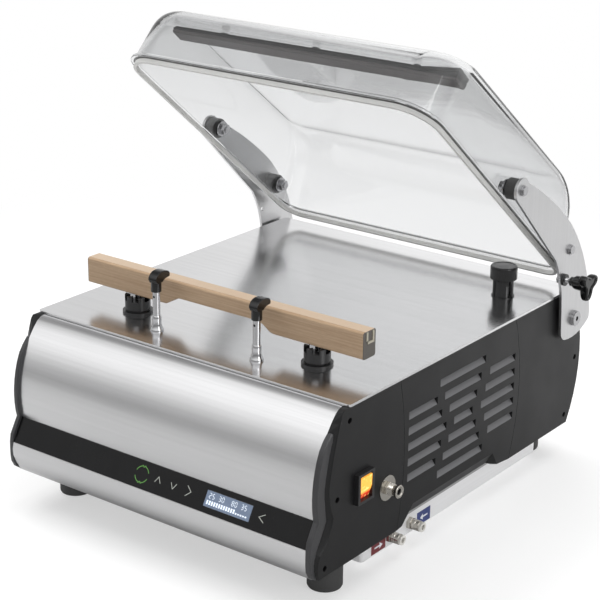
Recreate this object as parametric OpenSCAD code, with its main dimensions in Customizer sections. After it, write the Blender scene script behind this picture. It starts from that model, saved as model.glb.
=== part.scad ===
// Chamber-style vacuum sealer: clear domed lid, sealing bar on lift posts, steel body with
// moulded side panels. Millimetres, +Z up, front towards -Y. Shapes are drawn about the
// machine's mid-plane (x = 0), with y = 0 at the top plate's front edge and z = 0 on the table;
// at_origin() then moves them so that the bounding box stands centred on the origin.

/* [Body] */
// Height of the top plate above the table
plate_z = 235.5; // [215:0.5:260]
// Width of the top plate
plate_w = 467; // [440:1:500]
// Length of the top plate, front to back
plate_l = 490; // [486:1:494]
// Thickness of the top plate
plate_t = 3; // [2:0.5:4]
// Overhang of the top plate past each side panel
plate_lip = 0.5; // [0.5:0.5:3]
// Thickness of the bent sheets
sheet_t = 1.5; // [1:0.5:2]
// Height of the body's underside above the table
floor_z = 50; // [48:0.5:54]

/* [Side panels] */
// Depth of a moulded panel, from the steel sheets out to its face
panel_d = 9.5; // [8:0.5:14]
// Wall of the moulded panels
panel_wall = 3; // [2:0.5:4]
// Height of the panels' lower edge
panel_bottom = 47; // [45:0.5:49]
// Front seam of the vent cover, at its lower end
seam_y0 = 97; // [90:1:100]
// Rear seam of the vent cover before the plate's rear edge, at its lower end
seam_back = 147; // [130:1:150]
// Gap between two panel sections
seam_gap = 0.6; // [0.4:0.1:1.2]
// Depth of the front seam's bow
seam_bow = 11; // [4:1:16]
// Height of the folded-under stretch of the vent cover
fold_z = 69; // [62:1:76]
// Diameter of a panel screw's recess
recess_d = 7; // [6:0.5:9]
// Diameter of a panel screw's shank
screw_d = 3.8; // [3:0.1:4]

/* [Vents] */
// Top edge of the highest vent slot
vent_top = 207; // [200:1:212]
// Distance between vent rows
vent_pitch = 19.25; // [17:0.25:20]
// Height of one vent slot
vent_h = 9.5; // [7:0.5:11]
// Depth of the louvre behind a slot
vent_depth = 7.5; // [5:0.5:7.5]
// Thickness of a louvre fin
fin_t = 1.6; // [1:0.1:2.2]

/* [Front] */
// Depth of the control strip
strip_t = 2.5; // [1.5:0.1:3]
// Width of the display window
display_w = 65; // [50:1:80]
// Height of the display window
display_h = 18.5; // [14:0.5:22]
// Place of the display's middle along the strip
display_x = 108; // [80:1:130]

/* [Base] */
// Lower tray's sides inside the edges of the steel sheets
tray_side = 15.5; // [10:0.5:30]
// Front edge of the lower tray
tray_y0 = 65; // [60:1:90]
// Lower tray's rear edge before the plate's rear edge
tray_back = 34.5; // [34:0.5:60]
// Height of the tray's underside above the table
tray_z = 10.5; // [8:0.5:16]
// Corner radius of the tray
tray_r = 5; // [3:1:10]
// Diameter of a foot
foot_d = 41; // [30:1:42]
// Middles of the front feet inside the edges of the steel sheets
front_foot_side = 30; // [27.5:0.5:50]
// Middles of the rear feet inside the edges of the steel sheets
rear_foot_side = 46; // [34:0.5:60]
// Front feet behind the plate's front edge
front_foot_y = 14.5; // [8:0.5:20]
// Rear feet before the plate's rear edge
rear_foot_in = 13; // [10:0.5:13.5]

/* [Seal bar] */
// Ends of the seal bar inside the dome's foot
bar_gap = 16.5; // [14:0.5:40]
// Thickness of the seal bar, front to back
bar_t = 23; // [20:0.5:25]
// Height of the seal bar
bar_h = 32; // [26:0.5:34]
// Underside of the resting seal bar above the top plate
bar_lift = 25; // [24:0.5:28]
// Middle of the seal bar behind the plate's front edge
bar_y = 72.2; // [71:0.1:74]
// Height of the relief under the middle of the bar
arch_h = 12; // [6:0.5:16]
// Half the width of the relief at its foot
arch_x = 85; // [70:1:95]
// Half the distance between the lift posts
post_x = 135.8; // [110:0.1:160]
// Side of a square lift post
post_s = 12.5; // [9:0.1:13]
// Height of a lift collar above the plate
collar_h = 22; // [16:0.5:23]
// Diameter of a lift collar
collar_d = 31; // [26:0.5:34]
// Distance that the bar travels up
bar_travel = 9; // [6:0.5:9]

/* [Gas nozzles] */
// Half the distance between the gas nozzles
nozzle_x = 75.3; // [50:0.1:100]
// Nozzles behind the plate's front edge
nozzle_y = 38.9; // [36:0.1:39]
// Diameter of a nozzle post
nozzle_d = 9; // [7:0.1:9.5]
// Height of a nozzle head's underside above the plate
nozzle_h = 48.5; // [40:0.5:50]

/* [Suction port] */
// Suction port inside the plate's right edge
port_side = 53.5; // [48.5:0.5:90]
// Suction port before the plate's rear edge
port_in = 90; // [88:1:110]
// Height of the capped port above the plate
port_h = 40; // [30:0.5:44]
// Diameter of the port's cap
port_cap_d = 34; // [30:0.5:36]

/* [Switch and fittings] */
// Switch behind the plate's front edge
switch_y = 27; // [24:0.5:34]
// Height of the switch's middle
switch_z = 131; // [100:0.5:160]
// Width of the switch opening
switch_w = 22; // [16:0.5:22]
// Height of the switch opening
switch_h = 29.6; // [24:0.1:30]
// Travel of the rocker, end to end
rocker_deg = 20; // [12:1:24]
// Gas inlet behind the plate's front edge
gas_y = 75; // [60:0.5:82]
// Height of the gas inlet's axis
gas_z = 110; // [80:0.5:160]
// Reach of the gas inlet outside its disc
gas_reach = 16.5; // [15:0.5:20]
// Diameter of the gas inlet's bore
gas_bore = 8.4; // [6:0.1:9]
// Diameter of the bores in the air fittings
air_bore = 6.2; // [4:0.1:7]
// Air fittings behind the plate's front edge
air_y = [120, 162];
// Height of the air fittings' axes
air_z = 23.5; // [20:0.5:28]
// Reach of the air fittings outside the tray
air_reach = 19.5; // [18:0.5:22]
// Mains inlet left of the mid-plane
inlet_x = -120; // [-180:1:-60]
// Width of the mains inlet's body
inlet_w = 28; // [26:0.5:30]
// Height of the mains inlet's body
inlet_h = 20; // [18:0.5:22]
// Thickness of the mains inlet's flange
inlet_flange = 2; // [1:0.5:3]

/* [Lid] */
// Angle between the open lid and the closed one
lid_open = 39.7; // [20:0.1:45]
// Hinge axis before the plate's rear edge
hinge_in = 14; // [12:1:20]
// Hinge axis below the top plate
hinge_drop = 37.5; // [32:0.5:45]
// Height of the closed rim above the plate
rim_h = 5.5; // [4:0.5:8]
// Wall of the clear dome
dome_t = 5; // [3:0.5:6]
// Height of the dome at the front
dome_front_h = 87; // [85:1:100]
// Height of the dome at the back
dome_back_h = 101; // [95:1:120]
// Foot of the dome inside the plate's side edges
dome_side = 10.5; // [8:0.5:16]
// Front of the dome behind the plate's front edge
dome_y0 = 8.5; // [6:0.5:12]
// Back of the dome before the plate's rear edge
dome_back = 53; // [50:0.5:58]
// Width of the flange outside the dome's side walls
flange_side = 2.5; // [1:0.5:4]
// Width of the flange before the dome
flange_end = 4; // [2:0.5:6]
// Width of the flange behind the dome
flange_back = 12; // [8:0.5:14]
// Thickness of the flange
flange_t = 4; // [3:0.5:4.5]
// Width of the rim gasket
gasket_t = 4; // [3:0.5:6]
// Depth of the counter bar, front to back
counter_t = 24; // [20:0.5:24]

/* [Lid arms] */
// Thickness of a lid arm
arm_t = 3.5; // [3:0.5:5]
// Gap between the top plate's edge and an arm
arm_gap = 4; // [3.6:0.1:6]
// Bolts before the hinge axis, with the lid closed
bolt_in = [241.5, 78];
// Height of the bolts above the plate, with the lid closed
bolt_h = 23.5; // [20.5:0.5:26.5]
// Diameter of a lid bolt
bolt_d = 8; // [6:1:8]
// Diameter of the hinge shaft
shaft_d = 16; // [12:1:18]
// Length of the coil that carries the lid, on each side
spring_l = 57.5; // [40:0.5:60]
// Star knob before the hinge axis, with the lid closed
knob_in = 65; // [63:1:68]
// Star knob below the top plate, with the lid closed
knob_drop = 12.5; // [10.5:0.5:13.5]
// Reach of a knob lobe from the axis
knob_r = 20; // [16:0.5:24]

/* [Clearances] */
// Radial play of a running fit
run = 0.05; // [0.02:0.01:0.1]
// Play between pieces that are assembled by hand
play = 0.3; // [0.2:0.05:0.4]

/* [Hidden] */
$fn = 48;

// Faces of the body
under_plate = plate_z - plate_t;
panel_x = plate_w / 2 - plate_lip;
sheet_x = panel_x - panel_d;
panel_top = under_plate - play;
frame_t = 1.5;
tray_x = sheet_x - tray_side;
tray_y1 = plate_l - tray_back;
tray_t = 1.5;
boss_floor = 2.5;
seam_y1 = plate_l - seam_back;
front_foot_x = sheet_x - front_foot_side;
rear_foot_x = sheet_x - rear_foot_side;
rear_foot_y = plate_l - rear_foot_in;
port_x = plate_w / 2 - port_side;
port_y = plate_l - port_in;

// Heights and places on the front, [y, z], from the top down
brow = [-12, plate_z - 8.5];
kink = [-44.3, 113];
chin = [-60.9, 84.3];
toe = [-50, panel_bottom - 2.5];
belly = [-36.9, up_front(0.675)];
hip = [-46.8, up_front(0.325)];
strip_dir = (chin - kink) / norm(chin - kink);
strip_out = [strip_dir[1], -strip_dir[0]];
strip_l = norm(chin - kink);

// Dome, lid arms and hinge
dome_x = plate_w / 2 - dome_side;
dome_y1 = plate_l - dome_back;
hinge_y = plate_l - hinge_in;
hinge_z = plate_z - hinge_drop;
bolt_y = [for (b = bolt_in) hinge_y - b];
bolt_z = plate_z + bolt_h;
knob_y = hinge_y - knob_in;
knob_z = plate_z - knob_drop;
arm_in = plate_w / 2 + arm_gap;
arm_out = arm_in + arm_t;
rim_z = plate_z + rim_h;
screw_head_t = 5;
bearing_in = sheet_x - 16;
bush_d = 24;
knob_neck = 11;
knob_head = 14;
knob_t = 14;
knob_out = arm_out + knob_neck + knob_head + knob_t;

// Switch and fittings
switch_out = 13.5;
switch_up = 16;
bezel_t = 6;
gas_tail = 12;
gas_in = 26;
ring_d = 11;
port_body_d = 26;

// Seal bar and posts
bar_x = dome_x - bar_gap;
bar_z0 = plate_z + bar_lift;
bar_z1 = bar_z0 + bar_h;
bar_y0 = bar_y - bar_t / 2;
bar_y1 = bar_y + bar_t / 2;
cyl_bore = 30;
piston_z0 = under_plate - 40;
wire_y = 5;
wire_w = 4;
wire_t = 0.5;
bill = bar_y0 - nozzle_y - 2;

// Rear edge of the body, [y, z], and the ends of the whole box
rear_foot = [plate_l + 4, panel_bottom];
rear_belly = [plate_l + 29, 140];
rear_top = [plate_l + 1, panel_top];
rear_bevel = 5;
inlet_z = rear_belly[1];
inlet_face = rear_belly[0] + play;
front_reach = min([for (p = front_edge(0)) p[0]]);
back_reach = inlet_face + inlet_flange;

// ---------- helpers ----------

// Puts the machine's own coordinates into the row frame
module at_origin() {
    translate([-(knob_out - arm_out - screw_head_t) / 2, -(front_reach + back_reach) / 2, 0])
        children();
}

// The closed lid's place, turned up to the open rest position
module open_lid() {
    at_origin()
        translate([0, hinge_y, hinge_z])
            rotate([-lid_open, 0, 0])
                translate([0, -hinge_y, -hinge_z])
                    children();
}

// A [y, z] profile drawn out along X
module along_x(x0, x1) {
    translate([x0, 0, 0])
        rotate([90, 0, 90])
            linear_extrude(x1 - x0)
                children();
}

// An [x, z] profile drawn out along Y
module along_y(y0, y1) {
    translate([0, y1, 0])
        rotate([90, 0, 0])
            linear_extrude(y1 - y0)
                children();
}

// A round bar along X, Y or Z
module rod_x(x0, x1, y, z, d) {
    translate([x0, y, z])
        rotate([0, 90, 0])
            cylinder(d = d, h = x1 - x0);
}

module rod_y(x, y0, y1, z, d) {
    translate([x, y0, z])
        rotate([-90, 0, 0])
            cylinder(d = d, h = y1 - y0);
}

module rod_z(x, y, z0, z1, d) {
    translate([x, y, z0])
        cylinder(d = d, h = z1 - z0);
}

module block(x0, x1, y0, y1, z0, z1) {
    translate([x0, y0, z0])
        cube([x1 - x0, y1 - y0, z1 - z0]);
}

// Rectangle with round corners, about the origin
module round_rect(w, l, r) {
    square([w - 2 * r, l], center = true);
    square([w, l - 2 * r], center = true);
    for (x = [-1, 1], y = [-1, 1])
        translate([x * (w / 2 - r), y * (l / 2 - r)])
            circle(r);
}

module both_sides() {
    children();
    mirror([1, 0, 0])
        children();
}

function lerp(a, b, t) = a + (b - a) * t;
function up_front(t) = lerp(kink[1], brow[1], t);
function wrap(a) = a - 360 * floor(a / 360);
function centre3(a, b, c) =
    let (d = 2 * (a[0] * (b[1] - c[1]) + b[0] * (c[1] - a[1]) + c[0] * (a[1] - b[1])))
    [((a * a) * (b[1] - c[1]) + (b * b) * (c[1] - a[1]) + (c * c) * (a[1] - b[1])) / d,
     ((a * a) * (c[0] - b[0]) + (b * b) * (a[0] - c[0]) + (c * c) * (b[0] - a[0])) / d];
function angle_at(o, p) = atan2(p[1] - o[1], p[0] - o[0]);

// Points on the arc from a through m to b
function arc3(a, m, b, n = 8) =
    let (
        o = centre3(a, m, b),
        r = norm(a - o),
        t0 = angle_at(o, a),
        turn = wrap(angle_at(o, b) - t0),
        sweep = wrap(angle_at(o, m) - t0) < turn ? turn : turn - 360
    )
    [for (i = [0 : n]) o + r * [cos(t0 + sweep * i / n), sin(t0 + sweep * i / n)]];
function rest(list) = [for (i = [1 : len(list) - 1]) list[i]];
function turned(list) = [for (i = [len(list) - 1 : -1 : 0]) list[i]];

// A path moved sideways by t, with mitred corners
function side_of(p, q) = let (d = (q - p) / norm(q - p)) [d[1], -d[0]];
function mitre(p, i) =
    let (
        n = len(p),
        a = i > 0 ? side_of(p[i - 1], p[i]) : side_of(p[0], p[1]),
        b = i < n - 1 ? side_of(p[i], p[i + 1]) : a
    )
    (a + b) / (1 + a * b);
function moved(p, t) = [for (i = [0 : len(p) - 1]) p[i] + t * mitre(p, i)];

// A bent sheet's section: the path and its copy one sheet further in
module sheet_section(path, t) {
    polygon(concat(path, turned(moved(path, t))));
}

// Side faces of a skin: ring i joined to the ring after it
function skin_sides(n, rings, steps) = [
    for (i = [0 : steps - 1], j = [0 : n - 1])
        let (a = i * n, b = ((i + 1) % rings) * n, k = (j + 1) % n)
            each [[a + j, b + j, a + k], [a + k, b + j, b + k]]
];

// A closed solid through rings that all have the same number of points
module skin(rings) {
    n = len(rings[0]);
    last = len(rings) - 1;
    polyhedron(
        [for (r = rings) each r],
        concat(
            [[for (j = [0 : n - 1]) j]],
            skin_sides(n, last + 1, last),
            [[for (j = [n - 1 : -1 : 0]) last * n + j]]
        ),
        convexity = 6
    );
}

// A frame through rings, the last one joined to the first again
module skin_loop(rings) {
    n = len(rings[0]);
    polyhedron(
        [for (r = rings) each r],
        skin_sides(n, len(rings), len(rings)),
        convexity = 6
    );
}

// ---------- outlines ----------

// Front edge of the body, top to bottom: s = 0 on the steel sheets, s = 1 on the panel's face;
// d moves it back, into the body
function front_edge(s, d = 0) =
    let (
        top = lerp([1.5, panel_top], [-9.5, panel_top], s),
        shoulder = lerp([-5.6, plate_z - 4.5], [-10.6, plate_z - 4.5], s),
        a = lerp(brow, [-13, brow[1] + 1], s),
        b = lerp(hip, [-34, hip[1]], s),
        c = lerp(kink, [-25.5, kink[1] - 1], s),
        e = lerp(chin, [-48.5, chin[1] - 9], s),
        f = lerp(toe, [-50.5, panel_bottom], s),
        path = concat(
            arc3(top, shoulder, a, 2),
            rest(arc3(a, lerp(belly, [-25, belly[1]], s), b, 8)),
            rest(arc3(b, lerp([-47, 131], [-32.3, 131], s), c, 4)),
            rest(arc3(c, lerp((kink + chin) / 2 + [0.1, 0], [-30, 98], s), e, 4)),
            rest(arc3(e, lerp([-60.6, 62], [-52.5, 62], s), f, 5))
        )
    )
    [for (p = path) [p[0] + d, p[1]]];

// Rear edge of the body, bottom to top
function rear_edge(s, d = 0) =
    let (in = rear_bevel * s + d)
    arc3(rear_foot - [in, 0], rear_belly - [in, 0], rear_top - [in, 0], 10);

// Seams between the panel sections, bottom to top
function front_seam(d = 0) =
    arc3([seam_y0 + d, panel_bottom], [seam_y0 + seam_bow + d, 133],
         [seam_y0 - 1 + d, panel_top], 8);
function rear_seam(d = 0) =
    arc3([seam_y1 + d, panel_bottom], [seam_y1 + 1.5 * seam_bow + d, 150],
         [seam_y1 + 1 + d, panel_top], 8);

// Keeps an outline between the heights z0 and z1
function between(p, z0, z1) = [for (q = p) [q[0], min(max(q[1], z0), z1)]];

function front_ring(s, d = 0) =
    between(concat(front_edge(s, d), front_seam(-seam_gap / 2 - d)),
            lerp(toe[1], panel_bottom, s) + d, panel_top - d);
function rear_ring(s, d = 0) =
    between(concat(turned(rear_seam(seam_gap / 2 + d)), rear_edge(s, d)),
            lerp(toe[1], panel_bottom, s) + d, panel_top - d);
function at_x(x, ring) = [for (p = ring) [x, p[0], p[1]]];

// Edge of the flat face inside the bevel
face_in = panel_wall + 0.5;

// How the bevel of the moulded panels runs: [share of the depth, share of the bevel]
bevel = [[0, 0], [0.12, 0.04], [0.88, 0.93], [1, 1]];
function bevel_x(b) = lerp(sheet_x, panel_x, b[0]);

// Panel screws, [y, z]
front_screws = [[1, plate_z - 18.5], [-19, 131], [-40, 57]];
rear_screws = [[plate_l + 11, 135], [plate_l - 8, 60]];

// Body side seen from the right, d inside the skin
function body_side(d) =
    between(concat(front_edge(0, d), rear_edge(0, d)), floor_z, under_plate);

// ---------- body ----------

module top_plate() {
    color("gainsboro")
        at_origin()
            difference() {
                translate([0, plate_l / 2, under_plate])
                    linear_extrude(plate_t)
                        round_rect(plate_w, plate_l, 4);
                for (x = [-1, 1]) {
                    rod_z(x * post_x, bar_y, under_plate - 1, plate_z + 1, 20);
                    rod_z(x * nozzle_x, nozzle_y, under_plate - 1, plate_z + 1, 6 + 2 * play);
                }
                rod_z(port_x, port_y, under_plate - 1, plate_z + 1, 20);
            }
}

// Path of the bowed front sheet, with the step that the control strip lies in
function front_path() = concat(
    [for (p = front_edge(0)) if (p[1] > kink[1] - 0.1) p],
    [kink - strip_out * (strip_t + 0.2), chin - strip_out * (strip_t + 0.2) - strip_dir * 1.5]
);

module front_panel() {
    color("silver")
        at_origin()
            along_x(-sheet_x, sheet_x)
                sheet_section(front_path(), -sheet_t);
}

// A prism along the control strip: between v0 and v1 down its slope from the middle, and
// between w0 and w1 outside its face
module on_strip(x0, x1, v0, v1, w0, w1) {
    mid = (kink + chin) / 2;
    along_x(x0, x1)
        polygon([
            mid + strip_dir * v0 + strip_out * w1,
            mid + strip_dir * v1 + strip_out * w1,
            mid + strip_dir * v1 + strip_out * w0,
            mid + strip_dir * v0 + strip_out * w0
        ]);
}

module display_window(d, w0, w1) {
    on_strip(display_x - display_w / 2 - d, display_x + display_w / 2 + d,
             -display_h / 2 - d, display_h / 2 + d, w0, w1);
}

module control_strip() {
    edge = strip_l / 2 - 0.4;
    color("black")
        at_origin()
            difference() {
                on_strip(-sheet_x + 0.2, sheet_x - 0.2, -edge, edge, -strip_t, 0);
                display_window(0.2, -strip_t - 1, 1);
            }
}

module display() {
    color("lightsteelblue")
        at_origin()
            display_window(0, -strip_t, -0.3);
}

// Path of the lip under the control strip
function lower_path() = concat(
    [chin - strip_out * (strip_t + 0.2)],
    arc3(chin, [-60.6, 62], toe, 5),
    [toe + [20, 0]]
);

module lower_front_panel() {
    color("silver")
        at_origin()
            along_x(-sheet_x, sheet_x)
                sheet_section(lower_path(), -sheet_t);
}

module rear_panel() {
    color("silver")
        at_origin()
            difference() {
                along_x(-sheet_x, sheet_x)
                    sheet_section(rear_edge(0), -sheet_t);
                block(inlet_x - inlet_w / 2 - play, inlet_x + inlet_w / 2 + play,
                      rear_belly[0] - 20, rear_belly[0] + 5,
                      inlet_z - inlet_h / 2 - play, inlet_z + inlet_h / 2 + play);
            }
}

// Folded steel pan: two side plates on a floor, which carry everything else
module chassis() {
    inside = 8;
    color("darkgray")
        at_origin()
            difference() {
                union() {
                    both_sides()
                        along_x(sheet_x - frame_t, sheet_x)
                            polygon(body_side(inside));
                    block(-sheet_x, sheet_x, toe[0] + inside, rear_foot[0] - inside,
                          floor_z, floor_z + frame_t);
                }
                block(-tray_x + 12, tray_x - 12, tray_y0 + 12, tray_y1 - 12,
                      floor_z - 1, floor_z + frame_t + 1);
                both_sides() {
                    for (p = concat(front_screws, rear_screws))
                        rod_x(sheet_x - 3, sheet_x + 1, p[0], p[1], screw_d + 2 * play);
                    block(sheet_x - 3, sheet_x + 1, seam_y0 + 22, seam_y1 - 8,
                          floor_z + 24, vent_top + 3);
                    rod_x(sheet_x - 3, sheet_x + 1, hinge_y, hinge_z, bush_d + 2 * play);
                }
                block(sheet_x - 3, sheet_x + 1, switch_y - switch_out - 1,
                      switch_y + switch_out + 1, switch_z - switch_up - 1,
                      switch_z + switch_up + 1);
                rod_x(sheet_x - 3, sheet_x + 1, gas_y, gas_z, 24);
            }
}

module base_tray() {
    color("lightgray")
        at_origin()
            difference() {
                translate([0, (tray_y0 + tray_y1) / 2, tray_z])
                    linear_extrude(floor_z - tray_z)
                        round_rect(2 * tray_x, tray_y1 - tray_y0, tray_r);
                translate([0, (tray_y0 + tray_y1) / 2, tray_z + tray_t])
                    linear_extrude(floor_z)
                        round_rect(2 * (tray_x - tray_t), tray_y1 - tray_y0 - 2 * tray_t,
                                   tray_r - tray_t);
                for (y = air_y)
                    rod_x(tray_x - 5, tray_x + 1, y, air_z, 10 + 2 * play);
            }
}

// Rubber foot with a bevelled sole and a moulded-in top washer
module foot(x, y) {
    translate([x, y, 0])
        rotate_extrude()
            polygon([
                [0, 0], [foot_d / 2 - 3, 0], [foot_d / 2 - 1, 1], [foot_d / 2, 3],
                [foot_d / 2, floor_z - 6], [foot_d / 2 - 1.5, floor_z - 4.5],
                [foot_d / 2 - 7, floor_z - 4.5], [foot_d / 2 - 7, floor_z], [0, floor_z]
            ]);
}

module feet() {
    color("black")
        at_origin()
            both_sides() {
                foot(front_foot_x, front_foot_y);
                foot(rear_foot_x, rear_foot_y);
            }
}

// ---------- side panels ----------

module screw_bosses(list) {
    for (p = list)
        rod_x(sheet_x, panel_x - 1, p[0], p[1], recess_d + 4);
}

module screw_holes(list) {
    for (p = list) {
        rod_x(sheet_x - 1, panel_x + 1, p[0], p[1], screw_d + 2 * play);
        rod_x(sheet_x + boss_floor, panel_x + 1, p[0], p[1], recess_d);
    }
}

// Front section: a rim that follows the bowed steel front and rolls over to a flat face,
// with holes cut in the face by the children
module front_section() {
    difference() {
        union() {
            skin_loop(concat(
                [
                    at_x(panel_x - panel_wall, front_ring(1, face_in)),
                    at_x(sheet_x, front_ring(0, panel_wall))
                ],
                [for (b = bevel) at_x(bevel_x(b), front_ring(b[1]))],
                [at_x(panel_x, front_ring(1, face_in))]
            ));
            along_x(panel_x - panel_wall, panel_x)
                difference() {
                    polygon(front_ring(1, face_in));
                    children();
                }
            screw_bosses(front_screws);
        }
        screw_holes(front_screws);
    }
}

module rear_section() {
    difference() {
        union() {
            skin(concat(
                [
                    at_x(panel_x - panel_wall, rear_ring(0.65, panel_wall)),
                    at_x(sheet_x, rear_ring(0, panel_wall))
                ],
                [for (b = bevel) at_x(bevel_x(b), rear_ring(b[1]))]
            ));
            screw_bosses(rear_screws);
        }
        screw_holes(rear_screws);
        rod_x(sheet_x - 1, panel_x + 1, hinge_y, hinge_z, shaft_d + 3);
    }
}

// Outline of the vent cover, d inside its edge
function vent_outline(d) = concat(
    between(turned(front_seam(seam_gap / 2 + d)), panel_bottom + d, panel_top - d),
    [
        [seam_y0 + 11, panel_bottom + 1.5 + d],
        [seam_y0 + 33, fold_z + d],
        [seam_y1 - 39, fold_z + d],
        [seam_y1 - 27, panel_bottom + 3 + d]
    ],
    between(rear_seam(-seam_gap / 2 - d), panel_bottom + d, panel_top - d)
);

// Section of the tucked-under skirt at y: outer edge at height z0, inner edge at z1
function skirt_ring(y, z0, z1) = [
    [panel_x, y, z0], [sheet_x, y, z1], [sheet_x, y, z1 + 3], [panel_x - 3, y, z0 + 1]
];

// The vent slots, [y0, y1, row]: three columns whose ends run in chevrons about the middle row
middle_row = 3;
slots = concat(
    [for (i = [1 : 5]) [seam_y0 + 19, seam_y0 + 98 - 10.5 * abs(i - middle_row), i]],
    [for (i = [0 : 6]) [seam_y0 + 115 - 11 * abs(i - middle_row),
                        seam_y0 + 155 + 8.5 * abs(i - middle_row), i]],
    [for (i = [1 : 5]) [seam_y0 + 174 + 9 * abs(i - middle_row), seam_y1 + 4, i]]
);
function slot_z(s) = vent_top - vent_h - vent_pitch * s[2];

// A louvre: a fin that climbs inward from the slot's lower edge, and a gusset at each end
module louvre(s) {
    z = slot_z(s);
    inner = panel_x - vent_depth;
    along_y(s[0] - fin_t, s[1] + fin_t)
        polygon([
            [panel_x - 0.3, z], [inner, z + vent_h], [inner - fin_t, z + vent_h],
            [panel_x - panel_wall, z - 2.5], [panel_x - 0.3, z - 1]
        ]);
    for (y = [s[0] - fin_t, s[1]])
        along_y(y, y + fin_t)
            polygon([[panel_x - 2, z], [panel_x - 2, z + vent_h], [inner, z + vent_h]]);
}

module vent_section() {
    difference() {
        along_x(sheet_x, panel_x)
            polygon(vent_outline(0));
        along_x(sheet_x - 1, panel_x - panel_wall)
            polygon(vent_outline(panel_wall));
        for (s = slots)
            block(panel_x - panel_wall - 1, panel_x + 1, s[0], s[1], slot_z(s), slot_z(s) + vent_h);
    }
    for (s = slots)
        louvre(s);
    skin([
        skirt_ring(seam_y0 + 11, panel_bottom + 1.5, panel_bottom),
        skirt_ring(seam_y0 + 33, fold_z, fold_z - 16),
        skirt_ring(seam_y1 - 39, fold_z, fold_z - 16),
        skirt_ring(seam_y1 - 27, panel_bottom + 3, panel_bottom)
    ]);
}

module right_panel_front() {
    color("dimgray")
        at_origin()
            front_section() {
                translate([switch_y, switch_z])
                    square(2 * [switch_out + play, switch_up + play], center = true);
                translate([gas_y, gas_z])
                    circle(d = gas_tail + 2 * play);
            }
}

module right_vent_cover() {
    color("dimgray")
        at_origin()
            vent_section();
}

module right_panel_rear() {
    color("dimgray")
        at_origin()
            rear_section();
}

module left_panel_front() {
    color("dimgray")
        at_origin()
            mirror([1, 0, 0])
                front_section();
}

module left_vent_cover() {
    color("dimgray")
        at_origin()
            mirror([1, 0, 0])
                vent_section();
}

module left_panel_rear() {
    color("dimgray")
        at_origin()
            mirror([1, 0, 0])
                rear_section();
}

// Cross-recessed screw head, standing out to +X
module screw_head(x, y, z, d) {
    difference() {
        rod_x(x, x + 2.4, y, z, d);
        block(x + 1.2, x + 3, y - 0.45, y + 0.45, z - d / 3, z + d / 3);
        block(x + 1.2, x + 3, y - d / 3, y + d / 3, z - 0.45, z + 0.45);
    }
}

module panel_screws() {
    color("black")
        at_origin()
            both_sides()
                for (p = concat(front_screws, rear_screws)) {
                    rod_x(sheet_x - 5, sheet_x + boss_floor, p[0], p[1], screw_d);
                    screw_head(sheet_x + boss_floor, p[0], p[1], recess_d - 1);
                }
}

// ---------- switch, inlets and fittings ----------

module power_inlet() {
    face = inlet_face;
    color("black")
        at_origin()
            difference() {
                union() {
                    block(inlet_x - inlet_w / 2 - 4, inlet_x + inlet_w / 2 + 4,
                          face, face + inlet_flange,
                          inlet_z - inlet_h / 2 - 3, inlet_z + inlet_h / 2 + 3);
                    block(inlet_x - inlet_w / 2, inlet_x + inlet_w / 2, face - 26, face,
                          inlet_z - inlet_h / 2, inlet_z + inlet_h / 2);
                }
                difference() {
                    block(inlet_x - 12.5, inlet_x + 12.5, face - 14, face + inlet_flange + 1,
                          inlet_z - 8.5, inlet_z + 8.5);
                    for (p = [[-7, -1], [0, 3], [7, -1]])
                        block(inlet_x + p[0] - 1, inlet_x + p[0] + 1, face - 15, face - 2,
                              inlet_z + p[1] - 2, inlet_z + p[1] + 2);
                }
            }
}

module switch_body() {
    color("black")
        at_origin()
            difference() {
                union() {
                    block(panel_x, panel_x + bezel_t, switch_y - 15, switch_y + 15,
                          switch_z - 18, switch_z + 18);
                    block(panel_x - 24, panel_x, switch_y - switch_out, switch_y + switch_out,
                          switch_z - switch_up, switch_z + switch_up);
                }
                block(panel_x - 7, panel_x + bezel_t + 1,
                      switch_y - switch_w / 2, switch_y + switch_w / 2,
                      switch_z - switch_h / 2, switch_z + switch_h / 2);
                rod_y(panel_x - 2, switch_y - switch_w / 2 - 1.6, switch_y + switch_w / 2 + 1.6,
                      switch_z, 3 + 2 * run);
            }
}

// Two-faced rocker on a cross pin, tipped with its lower end pressed in
module rocker() {
    half = switch_h / 2 - 1.2;
    color("orange")
        at_origin()
            translate([panel_x - 2, switch_y, switch_z])
                rotate([0, rocker_deg / 2, 0]) {
                    along_y(-switch_w / 2 + play, switch_w / 2 - play)
                        polygon([[-2, -half], [-2, half], [5.5, half], [7.5, 0], [5.5, -half]]);
                    rod_y(0, -switch_w / 2 - 1.4, switch_w / 2 + 1.4, 0, 3);
                }
}

module gas_inlet_plate() {
    color("silver")
        at_origin()
            difference() {
                rod_x(panel_x, panel_x + 1.5, gas_y, gas_z, 30);
                rod_x(panel_x - 1, panel_x + 3, gas_y, gas_z, gas_tail + 2 * play);
            }
}

module gas_inlet() {
    x = panel_x + 1.5;
    color("silver")
        at_origin()
            difference() {
                union() {
                    translate([x, gas_y, gas_z])
                        rotate([0, 90, 0])
                            cylinder(d = 17, h = 4, $fn = 6);
                    rod_x(x + 4, x + 12.5, gas_y, gas_z, 13);
                    rod_x(x + 12.5, x + gas_reach, gas_y, gas_z, 16);
                    rod_x(panel_x - gas_in, x, gas_y, gas_z, gas_tail);
                    translate([panel_x - panel_wall - 5, gas_y, gas_z])
                        rotate([0, 90, 0])
                            cylinder(d = 20, h = 5, $fn = 6);
                }
                rod_x(x + gas_reach - 20, x + gas_reach + 1, gas_y, gas_z, gas_bore);
            }
}

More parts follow.
